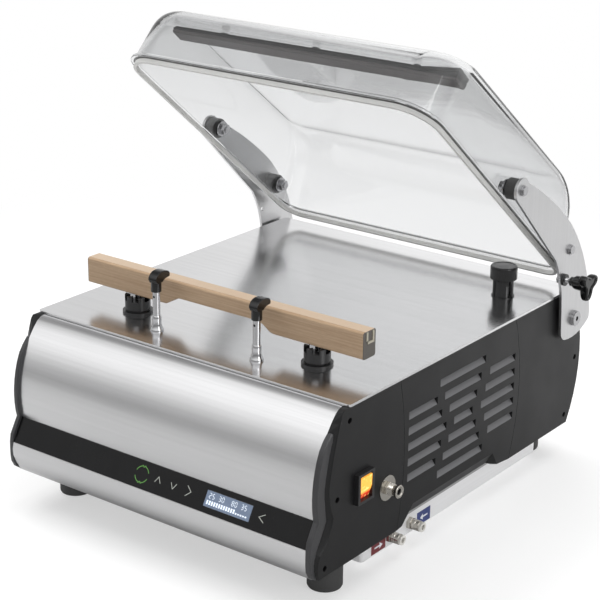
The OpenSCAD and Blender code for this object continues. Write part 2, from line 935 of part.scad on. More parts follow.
// Push-in fitting for an air tube, screwed through the side of the tray
module air_fitting(y) {
    difference() {
        union() {
            rod_x(tray_x, tray_x + air_reach - 3.5, y, air_z, ring_d + 2);
            translate([tray_x, y, air_z])
                rotate([0, 90, 0])
                    cylinder(d = 16, h = 5, $fn = 6);
            rod_x(tray_x - 9, tray_x, y, air_z, 10);
            translate([tray_x - tray_t - 5, y, air_z])
                rotate([0, 90, 0])
                    cylinder(d = 16, h = 5, $fn = 6);
        }
        rod_x(tray_x - 3, tray_x + air_reach, y, air_z, air_bore);
        rod_x(tray_x + air_reach - 9.5, tray_x + air_reach, y, air_z, ring_d + 2 * run);
    }
}

module release_ring(y) {
    difference() {
        union() {
            rod_x(tray_x + air_reach - 8, tray_x + air_reach - 2, y, air_z, ring_d);
            rod_x(tray_x + air_reach - 2, tray_x + air_reach, y, air_z, ring_d + 1);
        }
        rod_x(tray_x + air_reach - 9, tray_x + air_reach + 1, y, air_z, air_bore + 0.4);
    }
}

module air_fitting_front() {
    color("silver")
        at_origin()
            air_fitting(air_y[0]);
}

module air_fitting_rear() {
    color("silver")
        at_origin()
            air_fitting(air_y[1]);
}

module release_ring_front() {
    color("whitesmoke")
        at_origin()
            release_ring(air_y[0]);
}

module release_ring_rear() {
    color("whitesmoke")
        at_origin()
            release_ring(air_y[1]);
}

// ---------- on the top plate ----------

module suction_port() {
    color("black")
        at_origin()
            translate([port_x, port_y, plate_z])
                difference() {
                    union() {
                        translate([0, 0, -plate_t - 8])
                            cylinder(d = 20 - 2 * play, h = plate_t + 8);
                        cylinder(d = port_body_d + 5, h = 2);
                        cylinder(d = port_body_d, h = port_h - 4);
                    }
                    translate([0, 0, -plate_t - 9])
                        cylinder(d = 14, h = port_h + 20);
                    translate([0, 0, 10])
                        cylinder(d = port_body_d - 6, h = port_h);
                    for (a = [20, 110])
                        rotate([0, 0, a])
                            translate([-port_body_d, -5, 12])
                                cube([2 * port_body_d, 10, port_h]);
                }
}

module suction_cap() {
    color("black")
        at_origin()
            translate([port_x, port_y, plate_z])
                rotate_extrude()
                    polygon([
                        [0, port_h - 4], [port_body_d / 2 + 1.5, port_h - 4],
                        [port_body_d / 2 + 1.5, port_h - 13], [port_cap_d / 2, port_h - 13],
                        [port_cap_d / 2, port_h - 1.5], [port_cap_d / 2 - 1.5, port_h],
                        [0, port_h + 0.5]
                    ]);
}

module lift_collars() {
    bore = post_s + 2 * play;
    color("black")
        at_origin()
            for (x = [-post_x, post_x])
                translate([x, bar_y, plate_z])
                    difference() {
                        union() {
                            translate([0, 0, -plate_t])
                                cylinder(d = 20 - 2 * play, h = plate_t);
                            cylinder(d = collar_d + 6, h = 3);
                            translate([0, 0, 3])
                                cylinder(d = collar_d - 3, h = 2);
                            translate([0, 0, 5])
                                cylinder(d = collar_d, h = collar_h - 5);
                        }
                        translate([-bore / 2, -bore / 2, -plate_t - 1])
                            cube([bore, bore, collar_h + 10]);
                        for (a = [0 : 60 : 120])
                            rotate([0, 0, a])
                                translate([-collar_d, -4, collar_h - 6])
                                    cube([2 * collar_d, 8, 10]);
                    }
}

module lift_pistons() {
    shoulder = under_plate - 12;
    color("gray")
        at_origin()
            for (x = [-post_x, post_x]) {
                block(x - post_s / 2, x + post_s / 2, bar_y - post_s / 2, bar_y + post_s / 2,
                      shoulder, bar_z0);
                rod_z(x, bar_y, piston_z0 + 8, shoulder, post_s - 1);
                rod_z(x, bar_y, piston_z0, piston_z0 + 8, cyl_bore - 2 * run);
            }
}

module lift_cylinders() {
    color("silver")
        at_origin()
            for (x = [-post_x, post_x])
                difference() {
                    rod_z(x, bar_y, piston_z0 - 9, under_plate, cyl_bore + 8);
                    rod_z(x, bar_y, piston_z0 - 6, under_plate + 1, cyl_bore);
                }
}

// Half a cosine wave from height z0 to z1 between x0 and x1
function s_curve(x0, x1, z0, z1, n = 8) =
    [for (i = [0 : n]) [lerp(x0, x1, i / n), lerp(z0, z1, (1 - cos(180 * i / n)) / 2)]];

module seal_bar() {
    slope = 27;
    color("burlywood")
        at_origin()
            difference() {
                intersection() {
                    along_y(bar_y0, bar_y1)
                        polygon(concat(
                            [[bar_x, bar_z1], [-bar_x, bar_z1], [-bar_x, bar_z0]],
                            s_curve(-arch_x, -arch_x + slope, bar_z0, bar_z0 + arch_h),
                            s_curve(arch_x - slope, arch_x, bar_z0 + arch_h, bar_z0),
                            [[bar_x, bar_z0]]
                        ));
                    translate([-bar_x - 1, bar_y, bar_z0 + bar_h / 2])
                        rotate([90, 0, 90])
                            linear_extrude(2 * bar_x + 2)
                                round_rect(bar_t, bar_h, 3);
                }
                for (y = [-wire_y, wire_y])
                    block(-bar_x - 1, bar_x + 1, bar_y + y - wire_w / 2 - 0.1,
                          bar_y + y + wire_w / 2 + 0.1, bar_z1 - wire_t - 0.1, bar_z1 + 1);
            }
}

module sealing_wires() {
    color("silver")
        at_origin()
            for (y = [-wire_y, wire_y])
                block(-bar_x, bar_x, bar_y + y - wire_w / 2, bar_y + y + wire_w / 2,
                      bar_z1 - wire_t, bar_z1);
}

module teflon_tape() {
    color("tan")
        at_origin()
            block(-bar_x, bar_x, bar_y0 + 3, bar_y1 - 3, bar_z1, bar_z1 + 0.3);
}

// Brass angle at each end of the bar, under the ends of the wires
module bar_contacts() {
    color("gold")
        at_origin()
            both_sides() {
                block(bar_x, bar_x + 0.8, bar_y - 4, bar_y + 8, bar_z1 - 15, bar_z1 - 12);
                block(bar_x, bar_x + 0.8, bar_y + 5, bar_y + 8, bar_z1 - 12, bar_z1 - 1);
                block(bar_x, bar_x + 0.8, bar_y - 6.5, bar_y - 3.5, bar_z1 - 11,
                      bar_z1 - 1);
            }
}

module nozzle_posts() {
    r = nozzle_d / 2;
    top = nozzle_h + 9;
    color("silver")
        at_origin()
            for (x = [-nozzle_x, nozzle_x])
                translate([x, nozzle_y, plate_z])
                    difference() {
                        rotate_extrude()
                            polygon(concat(
                                [[0, -plate_t - 6], [3, -plate_t - 6], [3, 0]],
                                [[8.2, 0], [8.2, 1.5]],
                                arc3([7.6, 2.5], [5.9, 7], [5.6, 13], 5),
                                arc3([5.8, 16], [5.2, 18.2], [r, 19.5], 3),
                                [[r, top], [0, top]]
                            ));
                        rod_y(0, -r - 1, 0, nozzle_h - 6, 3);
                        rod_z(0, 0, -plate_t - 7, nozzle_h - 4, 3);
                    }
}

// L-shaped head that turns on its post: a socket with a bill over the mouth of the bag
module nozzle_head() {
    translate([0, 0, nozzle_h])
        difference() {
            union() {
                cylinder(d = 13, h = 16);
                along_x(-6.5, 6.5)
                    polygon(concat(
                        [[5.5, 11.5]],
                        arc3([7, 14], [11, 15.2], [bill, 14.5], 3),
                        arc3([bill, 21.5], [bill - 8, 25], [4, 26], 4),
                        arc3([-2, 25.5], [-5.5, 23], [-7.5, 17.5], 4),
                        [[-7.5, 13.5], [-5.5, 12]]
                    ));
            }
            translate([0, 0, -1])
                cylinder(r = nozzle_d / 2 + run, h = 10.3);
        }
}

module nozzle_head_left() {
    color("black")
        at_origin()
            translate([-nozzle_x, nozzle_y, plate_z])
                nozzle_head();
}

module nozzle_head_right() {
    color("black")
        at_origin()
            translate([nozzle_x, nozzle_y, plate_z])
                nozzle_head();
}

// ---------- lid ----------

// Share of the dome's height where its walls start to roll over into the top
dome_u0 = 0.57;
front_r = 45;
back_r = 28;

// Outline between x = -x and x, from y = f to y = b, with corners of radius r, or s at the back
function rounded(x, f, b, r, s, n = 8) = [
    for (c = [[x - s, b - s, s, 0], [-x + s, b - s, s, 90],
              [-x + r, f + r, r, 180], [x - r, f + r, r, 270]],
         i = [0 : n])
        [c[0] + c[2] * cos(c[3] + 90 * i / n), c[1] + c[2] * sin(c[3] + 90 * i / n)]
];

// Height of the dome's top above the rim; it rises towards the hinge
function dome_h(y) =
    lerp(dome_front_h, dome_back_h, (y - dome_y0) / (dome_y1 - dome_y0));

// The dome's outline at share u of its height, rolled over by the share e, d inside the skin
function dome_outline(u, e, d) =
    rounded(dome_x - 1.5 * u - 10 * e - d, dome_y0 + 7 * u + 50 * e + d,
            dome_y1 - 29 * u - 47 * e - d, lerp(front_r, 25, e) - d, lerp(back_r, 22, e) - d);
function dome_ring(u, e, d) =
    [for (p = dome_outline(u, e, d)) [p[0], p[1], rim_z + u * (dome_h(p[1]) - d)]];

// Rings round the dome from its foot to its top
function dome_rings(d) = [
    for (t = [0 : 11.25 : 90])
        dome_ring(lerp(dome_u0, 1, sin(t)), 1 - cos(t), d)
];
function flat_ring(list, z) = [for (p = list) [p[0], p[1], z]];
function flange_outline(d) =
    rounded(dome_x + flange_side - d, dome_y0 - flange_end + d,
            dome_y1 + flange_back - d, front_r + flange_side - d, back_r + flange_side - d);

module lid_dome() {
    color("white", 0.3)
        open_lid()
            difference() {
                skin(concat(
                    turned(dome_rings(dome_t)),
                    [
                        flat_ring(dome_outline(0, 0, dome_t), rim_z),
                        flat_ring(flange_outline(0.5), rim_z),
                        flat_ring(flange_outline(0), rim_z + 0.5),
                        flat_ring(flange_outline(0), rim_z + flange_t - 1),
                        flat_ring(flange_outline(0.8), rim_z + flange_t),
                        flat_ring(dome_outline(0.05, 0, 0), rim_z + flange_t)
                    ],
                    dome_rings(0)
                ));
                both_sides()
                    for (y = bolt_y)
                        rod_x(dome_x - 12, dome_x + 5, y, bolt_z, bolt_d + 1);
                for (x = counter_x)
                    rod_z(x, bar_y, rim_z + dome_front_h - 15, rim_z + dome_back_h, 5.6);
            }
}

module lid_gasket() {
    side = dome_x - 1.4;
    color("dimgray")
        open_lid()
            translate([0, 0, plate_z + play])
                linear_extrude(rim_h - play)
                    difference() {
                        polygon(rounded(side, dome_y0 + 2.9, dome_y1 + 10, front_r, back_r));
                        polygon(rounded(side - gasket_t, dome_y0 + 2.9 + gasket_t,
                                        dome_y1 + 10 - gasket_t, front_r - gasket_t,
                                        back_r - gasket_t));
                    }
}

// Counter bar inside the dome: grooved aluminium hung on three stand-offs
counter_z0 = bar_z1 + bar_travel + 1.5;
counter_z1 = counter_z0 + 15.5;
counter_x = [-140, 0, 140];
pad_t = 4;

// Underside of the dome's top over the counter bar
ceiling = rim_z + dome_h(bar_y) - dome_t;

module counter_bar() {
    r = counter_t / 2;
    color("silver")
        open_lid()
            difference() {
                union() {
                    along_x(-bar_x, bar_x)
                        polygon([
                            [bar_y - r, counter_z0 + pad_t], [bar_y + r, counter_z0 + pad_t],
                            [bar_y + r, counter_z0 + 8], [bar_y + r - 1.5, counter_z0 + 8.5],
                            [bar_y + r - 1.5, counter_z0 + 10.5], [bar_y + r, counter_z0 + 11],
                            [bar_y + r, counter_z1], [bar_y - r, counter_z1],
                            [bar_y - r, counter_z0 + 11], [bar_y - r + 1.5, counter_z0 + 10.5],
                            [bar_y - r + 1.5, counter_z0 + 8.5], [bar_y - r, counter_z0 + 8]
                        ]);
                    for (x = counter_x)
                        rod_z(x, bar_y, counter_z1, ceiling - 0.4, 10);
                }
                for (x = counter_x)
                    rod_z(x, bar_y, counter_z0 + pad_t + 3, ceiling + 5, 5);
            }
}

module counter_pad() {
    color("dimgray")
        open_lid()
            along_x(-bar_x, bar_x)
                polygon([
                    [bar_y - 9, counter_z0], [bar_y + 9, counter_z0],
                    [bar_y + 11, counter_z0 + 1.5], [bar_y + 11, counter_z0 + pad_t],
                    [bar_y - 11, counter_z0 + pad_t], [bar_y - 11, counter_z0 + 1.5]
                ]);
}

module counter_screws() {
    seat = ceiling + dome_t + 0.4;
    color("silver")
        open_lid()
            for (x = counter_x) {
                rod_z(x, bar_y, counter_z0 + pad_t + 4, seat, 4.9);
                translate([x, bar_y, seat])
                    rotate_extrude()
                        polygon([[0, 0], [5, 0], [4.6, 1.4], [3.2, 2.6], [0, 3.2]]);
            }
}

// Outline of a lid arm, [y, z], from its front end round the hinge and back; the points near
// the hinge are given from its axis
function by_hinge(y, z) = [hinge_y + y, hinge_z + z];
function arm_outline() =
    let (
        tip = [bolt_y[0], bolt_z],
        elbow = by_hinge(-100.5, 34.3),
        heel = by_hinge(-2, -32.5),
        hump = by_hinge(-104, 86.4)
    )
    concat(
        [tip + [-2, -15]],
        arc3(elbow, by_hinge(-82, 27), by_hinge(-42, -2.5), 6),
        arc3(by_hinge(-14, -31), by_hinge(-8, -33), heel, 3),
        rest(arc3(heel, by_hinge(21, -15), by_hinge(38, 17), 6)),
        arc3(by_hinge(34, 24), by_hinge(-14, 59), hump, 10),
        rest(arc3(hump, by_hinge(-155.4, 85.4), tip + [7, 13.5], 10)),
        rest(arc3(tip + [7, 13.5], tip + [-15, 0], tip + [-2, -15], 10))
    );

module lid_arm() {
    difference() {
        along_x(arm_in, arm_out)
            polygon(arm_outline());
        for (y = bolt_y)
            rod_x(arm_in - 1, arm_out + 1, y, bolt_z, bolt_d + 0.4);
        rod_x(arm_in - 1, arm_out + 1, hinge_y, hinge_z, bolt_d + 0.4);
        rod_x(arm_in - 1, arm_out + 1, knob_y, knob_z, 6 + 2 * play);
    }
}

module lid_arm_left() {
    color("silver")
        open_lid()
            mirror([1, 0, 0])
                lid_arm();
}

module lid_arm_right() {
    color("silver")
        open_lid()
            lid_arm();
}

module arm_spacers() {
    color("black")
        open_lid()
            both_sides()
                for (y = bolt_y)
                    difference() {
                        rod_x(dome_x + play, arm_in, y, bolt_z, 26);
                        rod_x(dome_x - 1, arm_in + 1, y, bolt_z, bolt_d + 0.6);
                    }
}

module lid_bolts() {
    washer = dome_x - dome_t - 1.3;
    color("silver")
        open_lid() {
            both_sides()
                for (y = bolt_y) {
                    rod_x(washer - 10, arm_out, y, bolt_z, bolt_d);
                    rod_x(arm_out, arm_out + 2.5, y, bolt_z, 13);
                    rod_x(arm_out + 2.5, arm_out + 4, y, bolt_z, 10.5);
                    rod_x(washer - 2, washer, y, bolt_z, 20);
                    translate([washer - 8.5, y, bolt_z])
                        rotate([0, 90, 0])
                            cylinder(d = 15, h = 6.5, $fn = 6);
                }
            difference() {
                translate([plate_w / 2 + 0.5, knob_y, knob_z])
                    rotate([0, 90, 0])
                        cylinder(d = 12, h = arm_gap - 0.5, $fn = 6);
                rod_x(plate_w / 2, arm_in + 1, knob_y, knob_z, 6 + 2 * run);
            }
        }
}

// ---------- hinge ----------

module hinge_screws() {
    color("silver")
        open_lid()
            both_sides() {
                rod_x(arm_in - 22, arm_out, hinge_y, hinge_z, bolt_d);
                difference() {
                    union() {
                        rod_x(arm_out, arm_out + screw_head_t - 1.2, hinge_y, hinge_z, 20);
                        rod_x(arm_out + screw_head_t - 1.2, arm_out + screw_head_t,
                              hinge_y, hinge_z, 18);
                    }
                    translate([arm_out + 2, hinge_y, hinge_z])
                        rotate([0, 90, 0])
                            cylinder(d = 6.9, h = 5, $fn = 6);
                }
            }
}

module hinge_shaft() {
    color("silver")
        open_lid()
            difference() {
                rod_x(-arm_in, arm_in, hinge_y, hinge_z, shaft_d);
                both_sides()
                    rod_x(arm_in - 24, arm_in + 1, hinge_y, hinge_z, bolt_d + 2 * run);
            }
}

module hinge_bearings() {
    color("goldenrod")
        at_origin()
            both_sides()
                difference() {
                    union() {
                        rod_x(bearing_in, sheet_x, hinge_y, hinge_z, bush_d);
                        rod_x(sheet_x - frame_t - 3, sheet_x - frame_t, hinge_y, hinge_z,
                              bush_d + 10);
                    }
                    rod_x(bearing_in - 1, sheet_x + 1, hinge_y, hinge_z, shaft_d + 2 * run);
                }
}

// Coil round the shaft, with a leg down to the floor of the chassis
module lid_spring() {
    coils = 13;
    wire = spring_l / coils;
    x = bearing_in - spring_l;
    r0 = shaft_d / 2 + 0.5;
    r1 = shaft_d / 2 + 4;
    r2 = r1 + 1.5;
    translate([x, hinge_y, hinge_z])
        rotate([0, 90, 0])
            rotate_extrude()
                polygon(concat(
                    [[r0, spring_l], [r0, 0]],
                    [for (i = [0 : coils - 1]) each [
                        [r1, i * wire], [r2, (i + 0.3) * wire],
                        [r2, (i + 0.7) * wire], [r1, (i + 1) * wire]
                    ]]
                ));
    rod_z(x + wire / 2, hinge_y - r1 + wire / 3, floor_z + frame_t, hinge_z, wire);
}

module lid_springs() {
    color("dimgray")
        at_origin()
            both_sides()
                lid_spring();
}

// ---------- star knob ----------

module knob_bushing() {
    color("black")
        open_lid()
            difference() {
                rod_x(arm_out, arm_out + 4, knob_y, knob_z, 15);
                rod_x(arm_out - 1, arm_out + 5, knob_y, knob_z, 6 + 2 * run);
            }
}

// Outline of the knob's head: three lobes with hollow flanks between them
function star_r(a) = lerp(knob_r / 2, knob_r, pow((1 + cos(3 * (a - 60))) / 2, 1.8));

// Three-lobed clamping knob on a threaded stud
module star_knob() {
    neck = arm_out + knob_neck;
    head = neck + knob_head;
    color("black")
        open_lid() {
            rod_x(plate_w / 2 + 0.5, neck, knob_y, knob_z, 6);
            rod_x(neck, neck + 3, knob_y, knob_z, 12);
            rod_x(neck + 3, head, knob_y, knob_z, knob_r - 1);
            along_x(head, knob_out)
                polygon([for (a = [0 : 7.5 : 352.5])
                    [knob_y + star_r(a) * cos(a), knob_z + star_r(a) * sin(a)]]);
        }
}

// ---------- inside the body ----------

// Everything in here stands on the tray or on what stands there; the pump lies under the
// suction port's line, with its motor and fan beside it
inner_z = tray_z + tray_t;
pump_w = 148;
pump_l = 130;
pump_x0 = 28 - tray_x;
pump_x1 = pump_x0 + pump_w;
pump_y = port_y - 45;
pump_top = inner_z + 140;
fin_reach = 8;
motor_l = 152;
motor_d = 120;
motor_x1 = pump_x1 + motor_l;
motor_z = inner_z + 63;
line_d = 26;
line_x = pump_x0 + 80;
line_z = pump_top + 23;

// Oil pump with cooling fins
module vacuum_pump() {
    front = pump_y - pump_l / 2;
    back = pump_y + pump_l / 2;
    color("slategray")
        at_origin()
            difference() {
                union() {
                    block(pump_x0, pump_x1, front, back, inner_z, pump_top);
                    for (x = [pump_x0 + 10 : 15 : pump_x1 - 18])
                        block(x, x + 4, front - fin_reach, back + fin_reach,
                              inner_z + 20, pump_top - 6);
                    rod_y(pump_x0 + 74, front - fin_reach - 10, front, inner_z + 48, 26);
                }
                rod_z(line_x, port_y, pump_top - 12, pump_top + 1, 21);
            }
}

module pump_motor() {
    color("steelblue")
        at_origin()
            difference() {
                union() {
                    rod_x(pump_x1, motor_x1, pump_y, motor_z, motor_d);
                    block(pump_x1 + 17, motor_x1 - 15, pump_y - 40, pump_y + 40,
                          inner_z, motor_z - 40);
                    block(pump_x1 + 42, pump_x1 + 102, pump_y - 20, pump_y + 20,
                          motor_z + 50, motor_z + 72);
                }
                rod_x(motor_x1 - 20, motor_x1 + 1, pump_y, motor_z, 10 + 2 * run);
            }
}

// Cooling fan on the motor's rear shaft end, its blades clear of the motor's end face
module motor_fan() {
    color("gray")
        at_origin() {
            rod_x(motor_x1 - 18, motor_x1 + 26, pump_y, motor_z, 10);
            rod_x(motor_x1 + 8, motor_x1 + 20, pump_y, motor_z, 30);
            for (a = [0 : 60 : 300])
                translate([motor_x1 + 12, pump_y, motor_z])
                    rotate([a, 0, 0])
                        translate([0, 10, 0])
                            rotate([0, 0, 12])
                                block(0, 3, 0, 40, -12, 12);
        }
}

// Oil mist filter on two saddles on the pump
module exhaust_filter() {
    d = 60;
    y = port_y - 70;
    z = pump_top + d / 2 + 4;
    x0 = pump_x0 + 8;
    x1 = x0 + 112;
    color("lightgray")
        at_origin() {
            rod_x(x0, x1, y, z, d);
            rod_x(x1, x1 + 8, y, z, d - 14);
            for (x = [x0 + 12, x0 + 82])
                block(x, x + 16, y - 20, y + 20, pump_top, z - 21);
        }
}

module transformer() {
    x0 = tray_x - 148;
    x1 = x0 + 100;
    y0 = tray_y0 + 65;
    y1 = y0 + 80;
    color("peru")
        at_origin() {
            block(x0, x1, y0, y1, inner_z, inner_z + 3);
            block(x0 + 10, x1 - 10, y0 + 15, y1 - 15, inner_z + 3, inner_z + 84);
            block(x0 + 22, x1 - 22, y0 + 2, y1 - 2, inner_z + 22, inner_z + 66);
        }
}

module valve_block() {
    x0 = 48 - tray_x;
    y0 = tray_y0 + 55;
    y1 = y0 + 40;
    top = inner_z + 28;
    color("silver")
        at_origin() {
            block(x0, x0 + 100, y0, y1, inner_z, top);
            for (x = [x0 + 18 : 32 : x0 + 82]) {
                rod_z(x, y0 + 20, top, top + 6, 12);
                block(x - 12, x + 12, y0 + 6, y1 - 6, top + 6, top + 32);
                rod_y(x, y1, y1 + 12, inner_z + 16, 8);
            }
        }
}

// Circuit board behind the control strip, on four stand-offs from the front sheet
module control_board() {
    back = -strip_t - 0.2 - sheet_t;
    under = back - 6;
    color("green")
        at_origin() {
            on_strip(display_x - 68, display_x + 72, -13, 13, under - 1.6, under);
            for (x = [display_x - 62, display_x + 60], v = [-10, 4])
                on_strip(x, x + 6, v, v + 6, under, back);
            on_strip(display_x - 30, display_x + 30, -9, 9, under, back - 3);
            on_strip(display_x - 48, display_x - 32, -8, 8, under - 9, under - 1.6);
            on_strip(display_x - 18, display_x + 42, -5, 5, under - 6, under - 1.6);
        }
}

// Gas line to the two nozzles and the wide line from the suction port to the pump
module pipework() {
    z = under_plate - 27.5;
    riser = panel_x - gas_in - 3;
    color("gray")
        at_origin()
            difference() {
                union() {
                    rod_x(-nozzle_x - 4, riser + 4, nozzle_y, z, 8);
                    for (x = [-nozzle_x, nozzle_x])
                        rod_z(x, nozzle_y, z, under_plate - 0.5, 10);
                    rod_z(riser, nozzle_y, gas_z - 4, z + 4, 8);
                    rod_y(riser, nozzle_y, gas_y, gas_z, 8);
                    rod_x(riser - 4, riser + 14, gas_y, gas_z, gas_tail + 4);
                    rod_z(port_x, port_y, line_z - line_d / 2, under_plate - 0.5, line_d);
                    rod_x(line_x - line_d / 2, port_x + line_d / 2, port_y, line_z, line_d);
                    rod_z(line_x, port_y, pump_top, line_z + line_d / 2, line_d);
                }
                for (x = [-nozzle_x, nozzle_x])
                    rod_z(x, nozzle_y, z, under_plate, 6 + 2 * play);
                rod_x(riser + 2.5, riser + 15, gas_y, gas_z, gas_tail + 2 * play);
                rod_z(port_x, port_y, line_z, under_plate, 20);
            }
}

top_plate();
front_panel();
control_strip();
display();
lower_front_panel();
rear_panel();
chassis();
base_tray();
feet();
right_panel_front();
right_vent_cover();
right_panel_rear();
left_panel_front();
left_vent_cover();
left_panel_rear();
panel_screws();
power_inlet();
switch_body();
rocker();
gas_inlet_plate();
gas_inlet();
air_fitting_front();
air_fitting_rear();
release_ring_front();
release_ring_rear();
suction_port();
suction_cap();
lift_collars();
lift_pistons();
lift_cylinders();
seal_bar();
sealing_wires();
teflon_tape();
bar_contacts();
nozzle_posts();
nozzle_head_left();
nozzle_head_right();
lid_dome();
lid_gasket();
counter_bar();
counter_pad();
counter_screws();
lid_arm_left();
lid_arm_right();
arm_spacers();
lid_bolts();
hinge_screws();
hinge_shaft();
hinge_bearings();
lid_springs();
star_knob();
knob_bushing();
vacuum_pump();
pump_motor();
motor_fan();
exhaust_filter();
transformer();
valve_block();
control_board();
pipework();
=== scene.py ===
"""Looks of the vacuum sealer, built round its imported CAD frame."""

import math

import bmesh
import bpy
from mathutils import Matrix, Vector


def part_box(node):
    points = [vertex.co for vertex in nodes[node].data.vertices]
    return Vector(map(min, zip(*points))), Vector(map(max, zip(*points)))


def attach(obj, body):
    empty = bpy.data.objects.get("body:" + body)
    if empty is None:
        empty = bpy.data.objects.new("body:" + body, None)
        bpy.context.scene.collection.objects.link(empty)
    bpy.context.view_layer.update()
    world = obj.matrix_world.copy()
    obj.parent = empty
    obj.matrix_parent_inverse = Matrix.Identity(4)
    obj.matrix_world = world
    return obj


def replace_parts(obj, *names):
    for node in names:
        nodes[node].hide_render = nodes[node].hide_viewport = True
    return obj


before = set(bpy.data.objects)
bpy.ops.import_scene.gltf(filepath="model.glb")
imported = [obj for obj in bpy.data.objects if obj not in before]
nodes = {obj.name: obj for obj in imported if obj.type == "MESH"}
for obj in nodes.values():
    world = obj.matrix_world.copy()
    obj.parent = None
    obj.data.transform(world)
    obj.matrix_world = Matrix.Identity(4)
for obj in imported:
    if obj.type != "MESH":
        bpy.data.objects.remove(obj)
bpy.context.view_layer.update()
scene = bpy.context.scene
MM = 0.001


def at(x, y, z):
    """A point of the machine's own drawing (mm from its mid-plane, plate edge and table)."""
    return Vector(((x - 17.0) * MM, (y - 229.522) * MM, z * MM))


# ---------------------------------------------------------------- camera, light, floor

AZIMUTH, ELEVATION, ROLL = (math.radians(a) for a in (37.2, 19.9, 0.6))
TARGET = Vector((-0.0701, 0.0583, 0.2080))
DISTANCE = 2.2248

back = Vector((
    math.sin(AZIMUTH) * math.cos(ELEVATION),
    -math.cos(AZIMUTH) * math.cos(ELEVATION),
    math.sin(ELEVATION),
))
right = Vector((math.cos(AZIMUTH), math.sin(AZIMUTH), 0.0))
up = back.cross(right)
cam_right = right * math.cos(ROLL) + up * math.sin(ROLL)
cam_up = up * math.cos(ROLL) - right * math.sin(ROLL)

camera = bpy.data.objects.new("camera", bpy.data.cameras.new("camera"))
scene.collection.objects.link(camera)
camera.data.lens = 103.92
camera.data.sensor_width = 36.0
camera.data.clip_start = 0.05
camera.matrix_world = Matrix.Translation(TARGET + back * DISTANCE) @ Matrix(
    (cam_right, cam_up, back)
).transposed().to_4x4()
scene.camera = camera
scene.view_settings.view_transform = "Standard"


def lamp(name, place, aim, size, watts, mirrored=True):
    light = bpy.data.lights.new(name, "AREA")
    light.shape = "RECTANGLE"
    light.size, light.size_y = size
    light.energy = watts
    obj = bpy.data.objects.new(name, light)
    obj.visible_glossy = obj.visible_transmission = mirrored
    obj.location = place
    obj.rotation_euler = (Vector(aim) - Vector(place)).to_track_quat("-Z", "Y").to_euler()
    scene.collection.objects.link(obj)
    return obj


lamp("key_softbox", (-2.0, -0.3, 2.6), (0.0, 0.0, 0.2), (2.2, 1.6), 55, mirrored=False)
lamp("top_softbox", (0.3, 0.8, 3.0), (0.0, 0.0, 0.2), (2.6, 1.2), 45, mirrored=False)
lamp("side_softbox", (2.8, -0.4, 1.5), (0.0, 0.0, 0.2), (1.2, 1.6), 18)


class Web:
    """Short calls for building one node tree."""

    def __init__(self, tree):
        self.tree = tree

    def node(self, kind, inputs=None, **settings):
        n = self.tree.nodes.new("ShaderNode" + kind)
        for k, v in settings.items():
            setattr(n, k, v)
        for k, v in (inputs or {}).items():
            if isinstance(v, bpy.types.NodeSocket):
                self.tree.links.new(v, n.inputs[k])
            else:
                n.inputs[k].default_value = v
        return n

    def math(self, operation, a, b=0.0, clamp=False):
        n = self.node("Math", {0: a, 1: b}, operation=operation)
        n.use_clamp = clamp
        return n.outputs[0]

    def fade(self, value, low, high, to_low=0.0, to_high=1.0, kind="SMOOTHSTEP"):
        n = self.node("MapRange", {
            "Value": value, "From Min": low, "From Max": high,
            "To Min": to_low, "To Max": to_high,
        }, interpolation_type=kind)
        return n.outputs[0]


def studio_world():
    """White for the camera; mirrored and refracted rays meet a room with its own bright walls.

    The wall behind the camera brightens upwards and dims at the zenith; the far wall is bright low
    down and brighter to the right. Other rays get an even, dimmer light."""
    world = bpy.data.worlds.new("studio")
    scene.world = world
    world.use_nodes = True
    w = Web(world.node_tree)
    ground = world.node_tree.nodes["Background"]
    ray = w.node("TexCoord").outputs["Generated"]
    xyz = w.node("SeparateXYZ", {0: ray})
    away = w.node("VectorMath", {0: ray, 1: (-math.sin(AZIMUTH), math.cos(AZIMUTH), 0.0)},
                  operation="DOT_PRODUCT").outputs["Value"]
    low_wall = w.fade(xyz.outputs[2], 0.02, 0.62, 0.34, 1.3)
    near_wall = w.math("MULTIPLY", low_wall, w.fade(xyz.outputs[2], 0.8, 0.97, 1.0, 0.7))
    across = w.node("VectorMath", {0: ray, 1: (math.cos(AZIMUTH), math.sin(AZIMUTH), 0.0)},
                    operation="DOT_PRODUCT").outputs["Value"]
    far_wall = w.math("MULTIPLY", w.fade(xyz.outputs[2], 0.4, 0.68, 1.0, 0.36),
                      w.fade(across, -0.16, 0.12, 0.8, 1.12))
    behind = w.fade(away, -0.15, 0.5)
    room = w.node("Mix", {0: behind, 2: near_wall, 3: far_wall}).outputs[0]
    path = w.node("LightPath")
    seen = w.node("Mix", {0: path.outputs["Is Camera Ray"], 2: room, 3: 1.0}).outputs[0]
    mirrored = w.math("MAXIMUM", path.outputs["Is Glossy Ray"], path.outputs["Is Transmission Ray"])
    shown_ray = w.math("MAXIMUM", path.outputs["Is Camera Ray"], mirrored)
    strength = w.node("Mix", {0: shown_ray, 2: 0.5, 3: seen}).outputs[0]
    world.node_tree.links.new(strength, ground.inputs["Strength"])
    ground.inputs["Color"].default_value = (1.0, 1.0, 1.0, 1.0)


studio_world()


